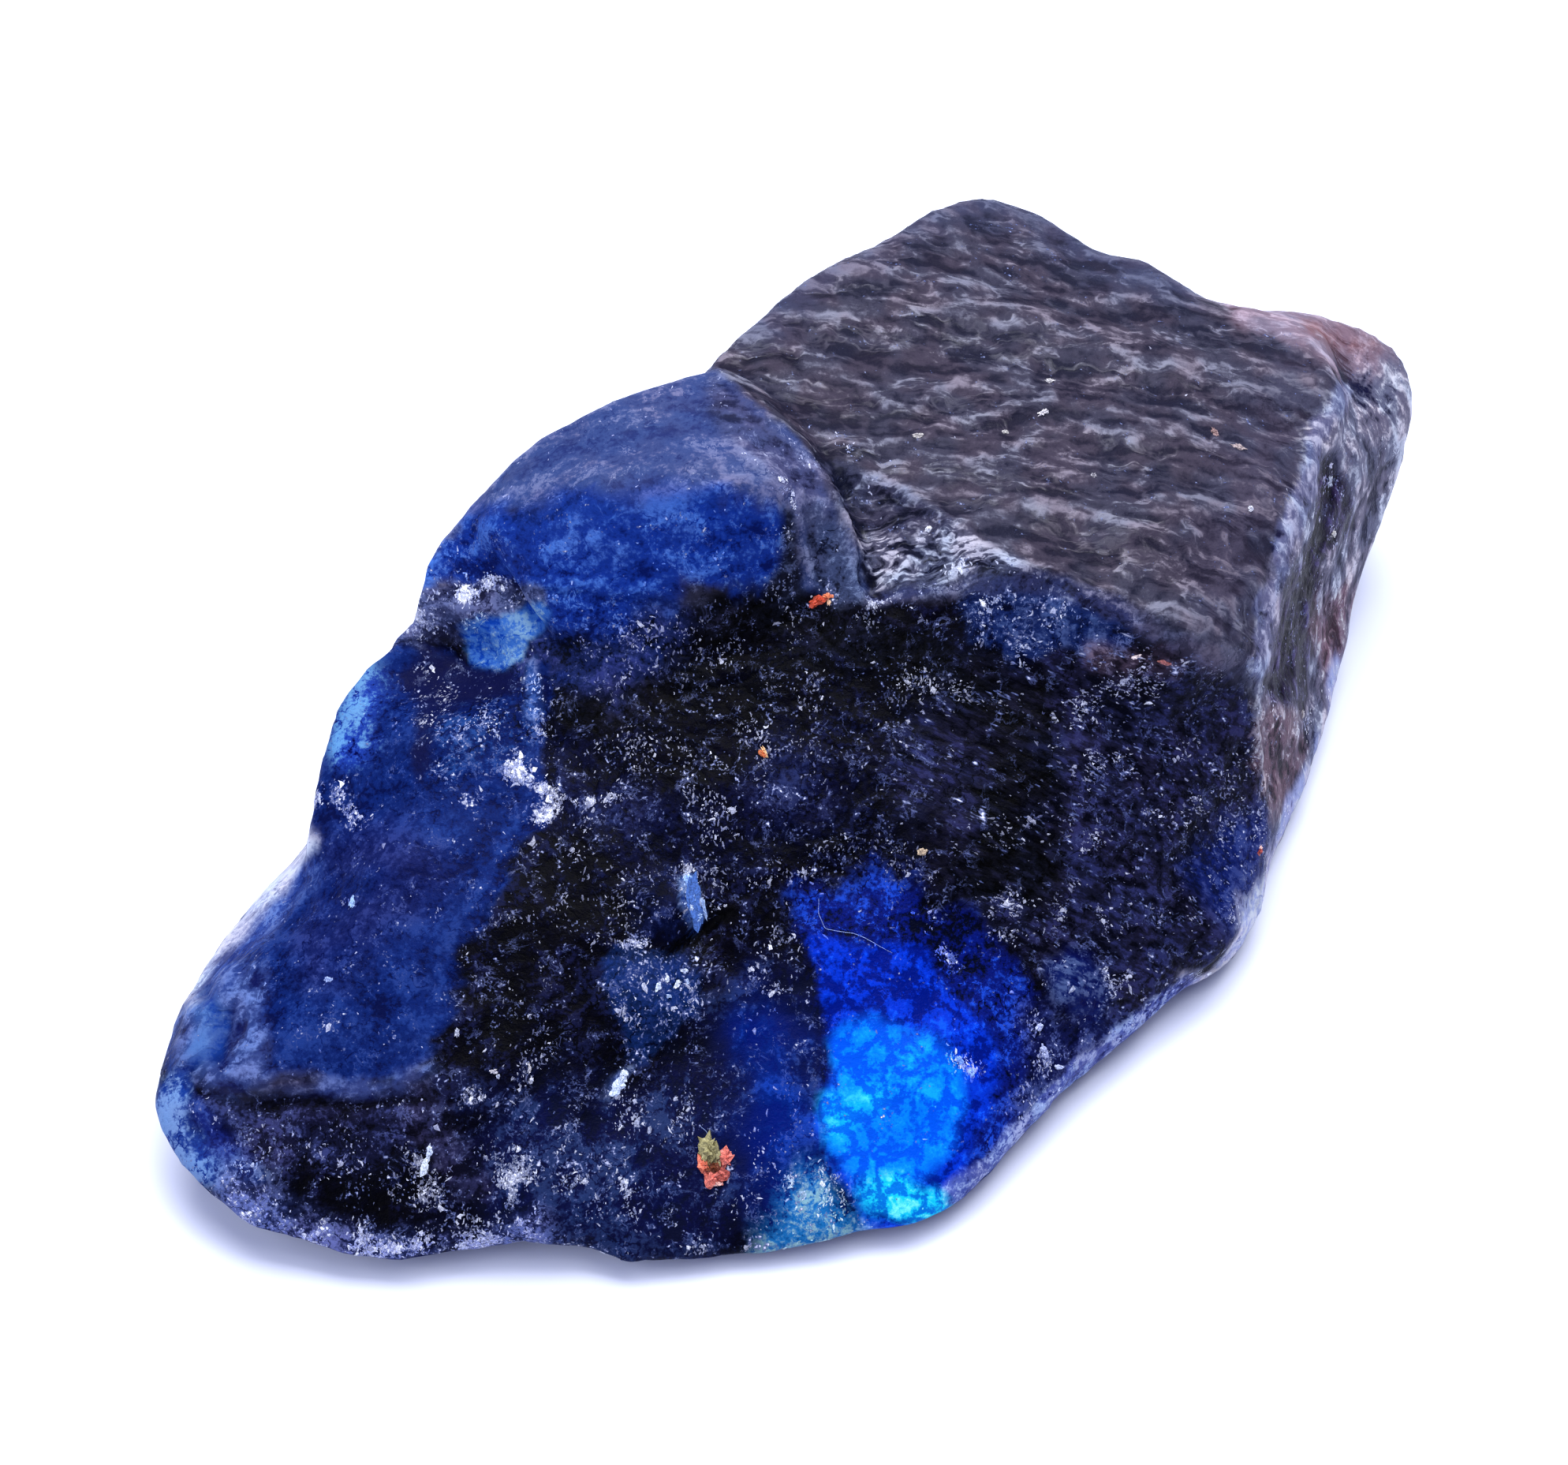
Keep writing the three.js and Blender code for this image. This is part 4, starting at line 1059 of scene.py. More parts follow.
# Pale mineral specks, partly painted glints: tiny grains, gathered in clusters by a broad
# noise, and ragged flakes. Each is a noise cut off below a level that drops as the density
# rises, and the noise's own height above that level is the speck's brightness.
def makeFleckGroup():
    group, given, result = newGroup(
        "flecksAndGlints",
        [("Vector", "NodeSocketVector", None), ("Flake", "NodeSocketFloat", 0.5),
         ("Cluster", "NodeSocketFloat", 0.5), ("Density", "NodeSocketFloat", 0.5),
         ("Grain Size", "NodeSocketFloat", 0.2)],
        [("Mask", "NodeSocketFloat"), ("Bright", "NodeSocketFloat")])
    grains = addNode(group, "ShaderNodeTexNoise", {
        "Vector": given["Vector"], "Scale": addMath(group, "DIVIDE", 1.0, given["Grain Size"]),
        "Detail": 1.0, "Roughness": 0.6}).outputs[0]
    more = addProduct(group, addMath(group, "SUBTRACT", given["Density"], 0.5), 0.24)
    level = addMath(group, "ADD", addAround(group, grains, given["Cluster"], 0.9), more)
    flake = addMath(group, "ADD", given["Flake"], more)
    mask = addMath(group, "MAXIMUM", addStep(group, level, 0.66, 0.78), addStep(group, flake, 0.7, 0.73))
    bright = addMath(group, "MAXIMUM", addStep(group, level, 0.76, 0.92), addStep(group, flake, 0.7, 0.84))
    group.links.new(mask, result["Mask"])
    group.links.new(bright, result["Bright"])
    return group


toneGroup = makeToneGroup()
fleckGroup = makeFleckGroup()

slant = math.radians(24)  # the slope of the streaks on the right of the front
slantWay = (math.cos(slant), -math.sin(slant) * math.sin(tilt), -math.sin(slant) * math.cos(tilt))

stoneFinish = {
    # Noises: size (mm), detail and roughness.
    "drift": (2.0, 2.0, 0.5),
    "patch": (1.0, 4.0, 0.66),
    "grain": (0.24, 2.0, 0.7),
    "ripple": (0.8, 3.0, 0.55),
    "swell": (1.9, 4.0, 0.5),
    # The finest noise draws the ripples of the painted sheen in the hollow.
    "finest": (0.19, 2.0, 0.5),  # the silver ripples of the hollow
    "streak": (0.36, 3.0, 0.65),
    "cloud": (3.2, 2.0, 0.5),
    "vein": (1.5, 5.0, 0.68),
    "crack": (2.3, 4.0, 0.6),
    "flake": (0.75, 4.0, 0.7),
    # How the patterns are laid.
    "driftReach": 1.8,  # mm
    "rippleScale": (0.32, 1.0, 0.36),  # ripples are long to the right and upwards
    "finestScale": (0.2, 1.0, 0.6),
    "slantLength": 3.2,
    # The step for the ripples' painted light and shade.
    "waveStep": (0.0, 0.3, 0.0),  # mm, how far apart a ripple's two sides are compared
    "cellSize": 1.45,  # mm, the rounded cells of the glowing patch
    "fleckSize": 0.17,  # mm
    # How strongly each shows in the tone.
    "contrast": 3.4,
    "glowContrast": 2.3,
    "waveShade": 2.5,
    "waveTone": 0.38,
    "rippleTone": 0.6,
    "waveGrain": 0.4,
    "crestShading": 0.5,
    "crestLineHighlight": 0.36,
    "paintedSheenTone": (-0.12, 0.42),
    "veinTone": 0.75,
    "crackTone": -0.5,
    "cloudTone": 1.0,
    "cloudOnWaves": 0.3,
    "seamTone": -0.6,
    "threadStrength": 0.5,
    # Colours and finish.
    "fleckColour": (214, 216, 236),
    "fleckBlue": (72, 82, 122),
    "warm": (1.06, 0.97, 0.96),  # the colour wanders between these two casts
    "cool": (0.94, 1.0, 1.04),
    "grainDull": 0.5,
    "fleckCoat": 0.4,
    "coatRoughness": 0.3,
    "specular": 0.02,
    "glowStrength": 0.55,
    # Height of the bump (mm), and the share that each pattern has in it.
    "bumpHeight": 0.12,
    "bumps": {"patch": 0.5, "grain": 0.45, "waves": 1.7, "lines": 0.25, "streak": 0.5},
}


# Turn that brings a mapping's first axis along the streaks and its second up the front:
# the three angles of the matrix whose columns are the new axes.
def slantTurn(along):
    first = np.array(along)
    turn = np.stack((first, np.cross(viewBack, first), viewBack), axis=1)
    x = math.atan2(turn[2, 1], turn[2, 2])
    y = math.atan2(-turn[2, 0], math.hypot(turn[2, 1], turn[2, 2]))
    return x, y, math.atan2(turn[1, 0], turn[0, 0])


# The stone's patterns: noises of its place, pushed about by a drift noise, drawn out for
# ripples and turned for the sloping streaks.
def addPatterns(tree, look):
    place = addPlace(tree)
    hue, drift = addNoise(tree, place, *look["drift"]).node.outputs
    drift = addVector(tree, "SUBTRACT", {0: drift, 1: (0.5, 0.5, 0.5)})
    drift = addVector(tree, "SCALE", {0: drift, "Scale": look["driftReach"]})
    bent = addVector(tree, "ADD", {0: place, 1: drift})
    long = addSqueeze(tree, bent, look["rippleScale"])
    beside = addVector(tree, "ADD", {0: long, 1: look["waveStep"]})
    turned = addNode(tree, "ShaderNodeMapping", {
        "Vector": place, "Rotation": slantTurn(slantWay), "Scale": (look["slantLength"], 1.0, 1.0)},
        vector_type="TEXTURE").outputs[0]
    cells = addNode(tree, "ShaderNodeTexVoronoi", {"Vector": bent, "Scale": 1 / look["cellSize"]},
                    feature="DISTANCE_TO_EDGE").outputs["Distance"]
    vectors = {"patch": bent, "grain": place, "ripple": long, "swell": long, "streak": turned,
               "finest": addSqueeze(tree, bent, look["finestScale"]),
               "cloud": bent, "vein": bent, "crack": place, "flake": place}
    noises = {name: addNoise(tree, vector, *look[name]) for name, vector in vectors.items()}
    backSwell = addNoise(tree, beside, *look["swell"])
    return SimpleNamespace(place=place, turned=turned, hue=hue, cells=cells, backSwell=backSwell, **noises)


# What the mesh holds for each place of the skin.
def addMasks(tree):
    waved, slanted, flecks = addPaintedParts(tree, "texture")
    rough, crestShading, glow = addPaintedParts(tree, "surface")
    gloss = addPaintedParts(tree, "sheen")[0]
    return SimpleNamespace(waved=waved, slanted=slanted, flecks=flecks, rough=rough,
                           crestShading=crestShading, glow=glow, gloss=gloss)


# Thin lines: painted highlights along the ripples' crests, pale veins and dark cracks. Each
# is a line through a noise, broken off where another noise is low.
def addLines(tree, pattern, mask):
    crest = addProduct(tree, addLine(tree, pattern.swell, 0.035), addStep(tree, pattern.patch, 0.4, 0.6))
    fine = addProduct(tree, addLine(tree, pattern.ripple, 0.05),
                      addStep(tree, pattern.swell, 0.44, 0.6, 0.1, 0.5))
    crests = addProduct(tree, addMath(tree, "MAXIMUM", crest, fine), mask.waved)
    veins = addProduct(tree, addLine(tree, pattern.vein, 0.02), addStep(tree, pattern.patch, 0.48, 0.62))
    cracks = addProduct(tree, addLine(tree, pattern.crack, 0.014), addStep(tree, pattern.cloud, 0.42, 0.58))
    return SimpleNamespace(crests=crests, veins=veins, cracks=cracks)


# The tone: patches and grain, taken over by sloping streaks or by ripples, with painted
# light where they rise and painted shade where they fall. Painted light and shade on crests,
# lines (painted highlights along crests, veins and cracks), painted sheen and clouds are added.
def addTone(tree, look, pattern, mask, lines):
    even = addSum(tree, (pattern.patch, 0.3), (pattern.grain, 0.4), (pattern.swell, 0.3))
    sloping = addSum(tree, (pattern.streak, 0.8), (pattern.patch, 0.2))
    contrast = addStep(tree, mask.glow, 0.1, 0.7, look["contrast"], look["glowContrast"])
    tone = addAround(tree, 0.5, addBlend(tree, mask.slanted, even, sloping), contrast)
    # Painted light and shade of the ripples: the ripple noise less the same noise a step further on.
    rippleLightAndShade = addProduct(tree, addMath(tree, "SUBTRACT", pattern.swell, pattern.backSwell), look["waveShade"])
    rippleLightAndShade = addAround(tree, rippleLightAndShade, pattern.ripple, look["rippleTone"])
    rippleLightAndShade = addAround(tree, rippleLightAndShade, pattern.grain, look["waveGrain"])
    rippleLightAndShade = addMath(tree, "ADD", rippleLightAndShade, look["waveTone"])
    tone = addBlend(tree, mask.waved, tone, rippleLightAndShade)
    tone = addAround(tree, tone, mask.crestShading, look["crestShading"])
    # Painted sheen: pale fine ripples where the gloss is high.
    paintedSheen = addProduct(tree, addStep(tree, pattern.finest, 0.4, 0.62, *look["paintedSheenTone"]),
                        addStep(tree, mask.gloss, 0.3, 0.8))
    tone = addMath(tree, "ADD", paintedSheen, addMath(tree, "MULTIPLY_ADD", lines.crests, look["crestLineHighlight"], tone))
    marked = addSum(tree, (lines.veins, look["veinTone"]), (lines.cracks, look["crackTone"]))
    covered = addProduct(tree, addMath(tree, "MAXIMUM", mask.waved, mask.glow), 0.8)
    tone = addMath(tree, "MULTIPLY_ADD", marked, addMath(tree, "SUBTRACT", 1.0, covered), tone)
    strong, weak = look["cloudTone"], look["cloudTone"] * look["cloudOnWaves"]
    return addAround(tree, tone, pattern.cloud, addStep(tree, mask.waved, 0.0, 1.0, strong, weak))


# Dark seams between rounded cells, only where light passes through: the distance to the
# cell's edge, roughened by the grain, is dark up to a width.
def addSeams(tree, look, pattern, mask, tone):
    worn = addAround(tree, pattern.cells, pattern.grain, 0.3)
    seam = addProduct(tree, addStep(tree, worn, 0.0, 0.24, 1.0, 0.0), addStep(tree, pattern.cloud, 0.3, 0.5))
    seam = addProduct(tree, seam, addStep(tree, mask.glow, 0.3, 0.8))
    return addMath(tree, "MULTIPLY_ADD", seam, look["seamTone"], tone)


# Flecks: the group laid upright, and along the streaks where the skin is slanted, with
# thin threads of veins between them. Gives where they are and how bright.
def addFrost(tree, look, pattern, mask, lines):
    laid = [addGroup(tree, fleckGroup, {"Vector": vector, "Flake": pattern.flake, "Cluster": pattern.patch,
                                        "Density": mask.flecks, "Grain Size": look["fleckSize"]})
            for vector in (pattern.place, pattern.turned)]
    where, bright = (addBlend(tree, mask.slanted, laid[0][k], laid[1][k]) for k in range(2))
    threads = addProduct(tree, lines.veins, addStep(tree, mask.flecks, 0.1, 0.5, 0.0, look["threadStrength"]))
    return addMath(tree, "MAXIMUM", where, threads), bright


# The height for the bump: each pattern times its share.
def addBump(tree, look, pattern, mask, lines):
    shares = look["bumps"]
    waves = addMath(tree, "MULTIPLY_ADD", pattern.swell, 2.2, pattern.ripple)
    height = addSum(tree, (pattern.patch, shares["patch"]), (pattern.grain, shares["grain"]),
                    (addProduct(tree, waves, mask.waved), shares["waves"]), (lines.crests, shares["lines"]),
                    (addProduct(tree, pattern.streak, mask.slanted), shares["streak"]))
    return addNode(tree, "ShaderNodeBump", {"Height": height, "Distance": look["bumpHeight"] * mm,
                                            "Strength": 1.0}).outputs[0]


# The stone's skin: its tone picks a colour between the three painted ones, which a broad
# noise tints, and pale flecks, partly painted glints, lie over that. Glowing places give out
# their own colour as emission: painted light for the light that passes through the stone.
def makeStone(look):
    material, tree, shader = newMaterial("sapphireSkin")
    pattern, mask = addPatterns(tree, look), addMasks(tree)
    lines = addLines(tree, pattern, mask)
    tone = addSeams(tree, look, pattern, mask, addTone(tree, look, pattern, mask, lines))
    colour = addGroup(tree, toneGroup, {"Tone": tone, "Dark": addPainted(tree, "darkTone"),
                                        "Middle": addPainted(tree, "middleTone"),
                                        "Light": addPainted(tree, "lightTone")})[0]
    hue = addMix(tree, addStep(tree, pattern.hue, 0.38, 0.62), (*look["warm"], 1.0), (*look["cool"], 1.0))
    fleck, bright = addFrost(tree, look, pattern, mask, lines)
    fleckColour = addMix(tree, bright, (*tint(look["fleckBlue"]), 1.0), (*tint(look["fleckColour"]), 1.0))
    colour = addMix(tree, fleck, addMix(tree, 1.0, colour, hue, "MULTIPLY"), fleckColour)
    roughness = addMath(tree, "MULTIPLY_ADD", fleck, -0.1,
                        addAround(tree, mask.rough, pattern.grain, look["grainDull"]), clamp=True)
    shiny = addProduct(tree, mask.gloss, addBlend(tree, mask.waved, 1.0, lines.crests))
    setInputs(tree, shader, {
        "Base Color": colour, "Roughness": roughness, "Normal": addBump(tree, look, pattern, mask, lines),
        "IOR": 1.5, "Specular IOR Level": look["specular"],
        "Coat Weight": addMath(tree, "MULTIPLY_ADD", fleck, look["fleckCoat"], shiny, clamp=True),
        "Coat Roughness": look["coatRoughness"],
        "Emission Color": addMix(tree, mask.glow, (0.0, 0.0, 0.0, 1.0), colour),
        "Emission Strength": look["glowStrength"]})
    return material


stonePiece = addPiece("roughSapphire", stoneMesh, makeStone(stoneFinish))
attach(stonePiece, "root")
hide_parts("rough_sapphire")
print("stone finished")

# Tiny pale crystals lying on the skin, partly painted glints, thickest where the markings
# have flecks. Each is a flat spindle: a ragged ring of points round a low peak, with a foot
# in the stone. They stand upright on the front, and slope with the streaks on its right.
crystals = {
    "count": 15500,
    "radius": 0.028,  # mm
    "bigCount": 380,  # of them
    "bigRadius": 0.075,  # mm
    "bigBright": 0.5,
    "spread": 0.4,  # how much the sizes differ
    "clump": 1.9,  # mm
    "field": 5.0,  # mm
    "lowest": 0.6,  # mm above the table
    "wander": 0.6,  # how far they turn from upright
    "length": (1.2, 3.6),  # times the width
    "ragged": (0.4, 1.35),  # of the radius, each point of the ring
    "bend": 0.5,
    "sides": 6,
    "above": 0.004,  # mm
    "peak": 0.22,  # of the radius
    "foot": 0.5,
    "deepColour": (40, 50, 92),
    "paleColour": (236, 238, 248),
}


# Where the crystals stand: squares of the skin, picked by their flecks to the power of
# four, their clumps and their area, and a random place in each. Gives the square's number,
# the place, the normal there and the clumps.
def crystalSpots(look, pick):
    corner = points[squares]
    across = np.cross(corner[:, 2] - corner[:, 0], corner[:, 3] - corner[:, 1])
    middle = corner.mean(axis=1)
    clump = smoothStep(0.0, 0.7, fractal(middle / look["clump"], 71, 5, 0.72)) ** 1.4 + 0.03
    clump *= smoothStep(-0.6, 0.5, noise(middle / look["field"], 77)) + 0.2
    density = finish["flecks"][squares].mean(axis=1) ** 4 * clump
    density *= 0.5 * np.linalg.norm(across, axis=1) * (middle[:, 2] > look["lowest"])
    chosen = pick.choice(len(squares), look["count"], p=density / density.sum())
    u, v = pick.random((2, look["count"], 1))
    share = np.stack(((1 - u) * (1 - v), u * (1 - v), u * v, (1 - u) * v), axis=1)
    centre = (corner[chosen] * share).sum(axis=1)
    return chosen, centre, unit((normals[squares[chosen]] * share).sum(axis=1)), clump[chosen]


# The crystals' points: a ring that is longer than wide, with each point's reach random
# and its middle curled to one side, then the peak and the foot.
def crystalPoints(look, pick, centre, up, sloping):
    total, sides = look["count"], look["sides"]
    lean = viewUp * (1 - sloping) + np.array(slantWay) * 1.5 * sloping
    along = unit(np.cross(up, lean + look["wander"] * pick.normal(size=(total, 3))))
    side = np.cross(along, up)
    radius = np.where(np.arange(total) < look["bigCount"], look["bigRadius"], look["radius"])[:, None]
    radius = radius * np.exp(look["spread"] * np.clip(pick.normal(size=(total, 1)), -2, 1.6))
    longer = pick.uniform(*look["length"], (total, 1)) ** np.where(radius > 0.07, 0.6, 1.0)
    curl = look["bend"] * pick.normal(size=(total, 1)) * radius
    turn = 2 * math.pi * np.arange(sides) / sides
    reach = radius * pick.uniform(*look["ragged"], (total, sides))
    ring = centre[:, None] + (side * longer)[:, None] * (reach * np.cos(turn))[..., None]
    ring = ring + along[:, None] * (reach * np.sin(turn) + curl * np.cos(2 * turn))[..., None]
    ring = ring + look["above"] * up[:, None]
    peak = centre + up * radius * look["peak"] + look["above"] * up
    foot = centre - up * radius * look["foot"]
    return np.concatenate((ring, peak[:, None], foot[:, None]), axis=1), radius


# The crystals' colours: from a deep blue mixed with the skin's light tone towards white,
# by a random share that is greater in frost, in clumps and for the big ones.
def crystalColours(look, pick, spot, clump, radius):
    frost = finish["flecks"][spot]
    bright = pick.beta(0.4, 2.0, len(spot)) * (0.35 + 0.75 * frost) + 0.4 * clump * frost**2
    bright = bright + look["bigBright"] * (radius[:, 0] > look["bigRadius"]) * frost
    below = tones[2][spot] / toneStrength * 0.8 + tint(look["deepColour"]) * 0.5
    return below + (tint(look["paleColour"]) - below) * np.clip(bright, 0, 1)[:, None]


# A map with one square for each crystal, its ring round the middle of the square.
def crystalMap(total, sides, faces):
    cells = math.ceil(math.sqrt(total))
    cell = np.stack((np.arange(total) % cells, np.arange(total) // cells), axis=1)
    turn = 2 * math.pi * np.arange(sides) / sides
    flat = np.stack((np.cos(turn), np.sin(turn)), axis=1)
    flat = np.concatenate((flat, [(0.1, 0.0), (-0.1, 0.0)])) * 0.4 + 0.5
    return ((cell[:, None] + flat[None]) / cells).reshape(-1, 2)[faces.ravel()]


# All the crystals in one mesh. A fan of faces joins the ring to the peak, and another the
# other way round to the foot.
def makeCrystals(look):
    pick = np.random.default_rng(21)
    total, sides = look["count"], look["sides"]
    chosen, centre, up, clump = crystalSpots(look, pick)
    spot = squares[chosen, 0]
    place, radius = crystalPoints(look, pick, centre, up, finish["slanted"][spot][:, None])
    first = np.arange(sides)
    following = (first + 1) % sides
    fan = np.concatenate((np.stack((first, following, np.full(sides, sides)), axis=1),
                          np.stack((following, first, np.full(sides, sides + 1)), axis=1)))
    faces = (fan[None] + (np.arange(total) * (sides + 2))[:, None, None]).reshape(-1, 3)
    mesh = makeMesh("paleCrystals", place.reshape(-1, 3), faces.tolist())
    colour = crystalColours(look, pick, spot, clump, radius)
    addColours(mesh, "crystalTone", np.repeat(colour, sides + 2, axis=0))
    layer = mesh.uv_layers.new(name="OFBake")
    layer.data.foreach_set("uv", crystalMap(total, sides, faces).astype(np.float32).ravel())
    return mesh


# Mineral grain: the painted colour times a fine noise, which also makes it less dull and
# a little bumpy.
def makeGrainSkin(name):
    material, tree, shader = newMaterial(name)
    grain = addNoise(tree, addPlace(tree), 0.08, 2.0, 0.6)
    shade = addStep(tree, grain, 0.35, 0.65, 0.5, 1.1)
    bump = addNode(tree, "ShaderNodeBump", {"Height": grain, "Distance": 0.02 * mm})
    setInputs(tree, shader, {
        "Base Color": addMix(tree, 1.0, addPainted(tree, "crystalTone"), shade, "MULTIPLY"),
        "Roughness": addStep(tree, grain, 0.3, 0.7, 0.5, 0.3), "Normal": bump.outputs[0],
        "Specular IOR Level": 0.3})
    return material


crystalPiece = addPiece("paleCrystals", makeCrystals(crystals), makeGrainSkin("crystalFrostAndGlints"))
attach(crystalPiece, "root")
print("crystals scattered")

surfaceSeen = np.flatnonzero(seen > 0.9)
surfacePlane = onPlane(points[surfaceSeen])


# The skin where it shows at places on the marking plane: its point, its normal, and the
# directions right and up along it. It is the mean of the four nearest points, weighted
# by one over their distance.
def onSkin(places):
    gap = np.linalg.norm(surfacePlane[None] - np.array(places)[:, None], axis=2)
    nearest = np.argsort(gap, axis=1)[:, :4]
    share = 1 / (np.take_along_axis(gap, nearest, axis=1) + 0.02)
    share /= share.sum(axis=1, keepdims=True)
    centre = (points[surfaceSeen[nearest]] * share[..., None]).sum(axis=1)
    up = unit((normals[surfaceSeen[nearest]] * share[..., None]).sum(axis=1))
    right = unit(viewRight - up * (up @ viewRight)[:, None])
    return centre, up, right, np.cross(up, right)


# Stray grains stuck to the skin: place on the marking plane, half width, half height and
# rise (mm), turn (degrees) and colour.
strayGrains = [
    ((-3.5, -19.4), 0.42, 0.62, 0.34, 6, (150, 142, 96)),
    ((-3.3, -19.6), 0.36, 0.5, 0.3, 0, (132, 124, 84)),
    ((-3.7, -20), 0.26, 0.34, 0.24, 20, (232, 122, 92)),
    ((-2.8, -19.7), 0.32, 0.46, 0.26, -14, (220, 116, 100)),
    ((-3.2, -20.1), 0.36, 0.4, 0.28, 0, (120, 62, 40)),
    ((-3.3, -20.6), 0.46, 0.34, 0.24, 8, (214, 112, 96)),
    ((-2.9, -20.4), 0.26, 0.26, 0.2, 0, (168, 76, 64)),
    ((-3.2, -20.8), 0.3, 0.12, 0.16, 5, (246, 190, 172)),
    ((1.6, 6.1), 0.44, 0.2, 0.2, 22, (196, 72, 44)),
    ((2, 6.3), 0.24, 0.16, 0.18, 30, (240, 140, 96)),
    ((2.1, 6), 0.09, 0.14, 0.12, 0, (255, 214, 176)),
    ((-1, -1), 0.14, 0.2, 0.12, 30, (208, 110, 60)),
    ((-0.9, -0.9), 0.08, 0.26, 0.12, 24, (255, 206, 150)),
    ((22, -5.3), 0.1, 0.08, 0.08, 0, (255, 214, 200)),
    ((22, -5.5), 0.16, 0.14, 0.1, 0, (166, 66, 58)),
    ((6.4, -5.5), 0.2, 0.16, 0.1, 10, (186, 164, 136)),
    ((17.6, 3.2), 0.3, 0.1, 0.1, -20, (170, 104, 100)),
    ((16.3, 3.5), 0.22, 0.1, 0.1, 20, (226, 208, 206)),
    # The next twelve, on the slab and the end face, are pale grains that are partly painted glints.
    ((6.2, 13.7), 0.24, 0.12, 0.1, 10, (196, 190, 184)),
    ((10.2, 13.9), 0.14, 0.12, 0.1, 0, (190, 186, 182)),
    ((12.3, 16.3), 0.22, 0.12, 0.1, 20, (206, 202, 200)),
    ((12, 14.8), 0.26, 0.12, 0.1, 30, (216, 212, 214)),
    ((21, 13.2), 0.3, 0.14, 0.1, 0, (176, 158, 154)),
    ((19.9, 13.9), 0.14, 0.2, 0.1, 20, (150, 120, 116)),
    ((14.3, 11.9), 0.12, 0.12, 0.1, 0, (176, 172, 178)),
    ((6.7, 9.4), 0.16, 0.14, 0.1, 30, (230, 232, 240)),
    ((21.6, 10.4), 0.14, 0.14, 0.1, 0, (206, 206, 214)),
    ((25.3, 11.6), 0.16, 0.26, 0.12, 0, (186, 192, 206)),
    ((25.4, 9.2), 0.2, 0.18, 0.12, 30, (204, 200, 196)),
    ((24, 0.9), 0.12, 0.2, 0.1, 0, (186, 178, 178)),
    ((-16.6, -20.1), 0.18, 0.42, 0.1, -20, (220, 228, 238)),
    ((-16.4, -19.4), 0.13, 0.28, 0.1, -12, (206, 216, 234)),
    ((-21.1, -11.4), 0.18, 0.12, 0.08, 0, (150, 170, 220)),
    ((-20, -7.9), 0.15, 0.26, 0.1, 0, (150, 180, 226)),
    ((-15.1, -13.9), 0.1, 0.2, 0.1, 10, (188, 192, 206)),
    ((-13.4, -15.7), 0.16, 0.09, 0.1, 0, (196, 192, 196)),
    ((-13.2, -15.9), 0.07, 0.12, 0.08, 20, (176, 182, 202)),
    ((-11.8, -15.5), 0.08, 0.2, 0.1, 10, (206, 202, 204)),
    ((-11.7, -16.1), 0.09, 0.14, 0.1, -10, (186, 188, 202)),
    ((-5.8, -11.8), 0.1, 0.22, 0.1, -20, (200, 212, 232)),
    ((-5.4, -11.4), 0.09, 0.16, 0.1, 10, (214, 222, 236)),
    ((-5, -11.6), 0.1, 0.2, 0.1, -30, (218, 226, 236)),
    ((-4.7, -11.1), 0.14, 0.09, 0.1, 0, (196, 206, 228)),
    ((-4.5, -11.5), 0.08, 0.14, 0.1, 20, (180, 196, 226)),
    ((-5.3, -12.2), 0.12, 0.08, 0.1, 0, (170, 190, 222)),
    ((-7.8, -16.4), 0.22, 0.44, 0.16, -30, (196, 210, 236)),
    ((-7.4, -15.9), 0.2, 0.26, 0.14, -30, (214, 224, 240)),
    ((11.8, -13.6), 0.2, 0.14, 0.1, 30, (176, 184, 220)),
    ((12, -14.7), 0.13, 0.3, 0.1, 15, (170, 178, 216)),
    ((12.7, -15.5), 0.24, 0.1, 0.08, 0, (180, 188, 220)),
    ((8.1, -15.2), 0.2, 0.14, 0.08, -20, (110, 150, 230)),
    ((8.6, -15.7), 0.16, 0.18, 0.08, 0, (130, 164, 236)),
    ((7.7, -10.4), 0.16, 0.18, 0.08, 0, (76, 96, 170)),
    ((-4.1, -7.9), 0.34, 1.1, 0.08, 10, (74, 112, 182)),
    ((-3.7, -8.1), 0.08, 0.5, 0.12, 14, (178, 202, 238)),
    ((-4.4, -6.9), 0.16, 0.3, 0.1, 0, (130, 164, 220)),
    ((-4.2, -7.5), 0.1, 0.22, 0.13, 20, (150, 184, 232)),
    ((-3.9, -8.5), 0.12, 0.2, 0.14, -10, (164, 194, 236)),
    ((-4.3, -8.1), 0.08, 0.14, 0.12, 0, (196, 214, 242)),
]
grainGrid = {
    "around": 14,
    "down": 8,
    "lump": 0.75,  # how uneven they are
    "lumpSize": 0.34,  # of the radius
    "foot": 0.6,  # how deep they are sunk, of the rise
}


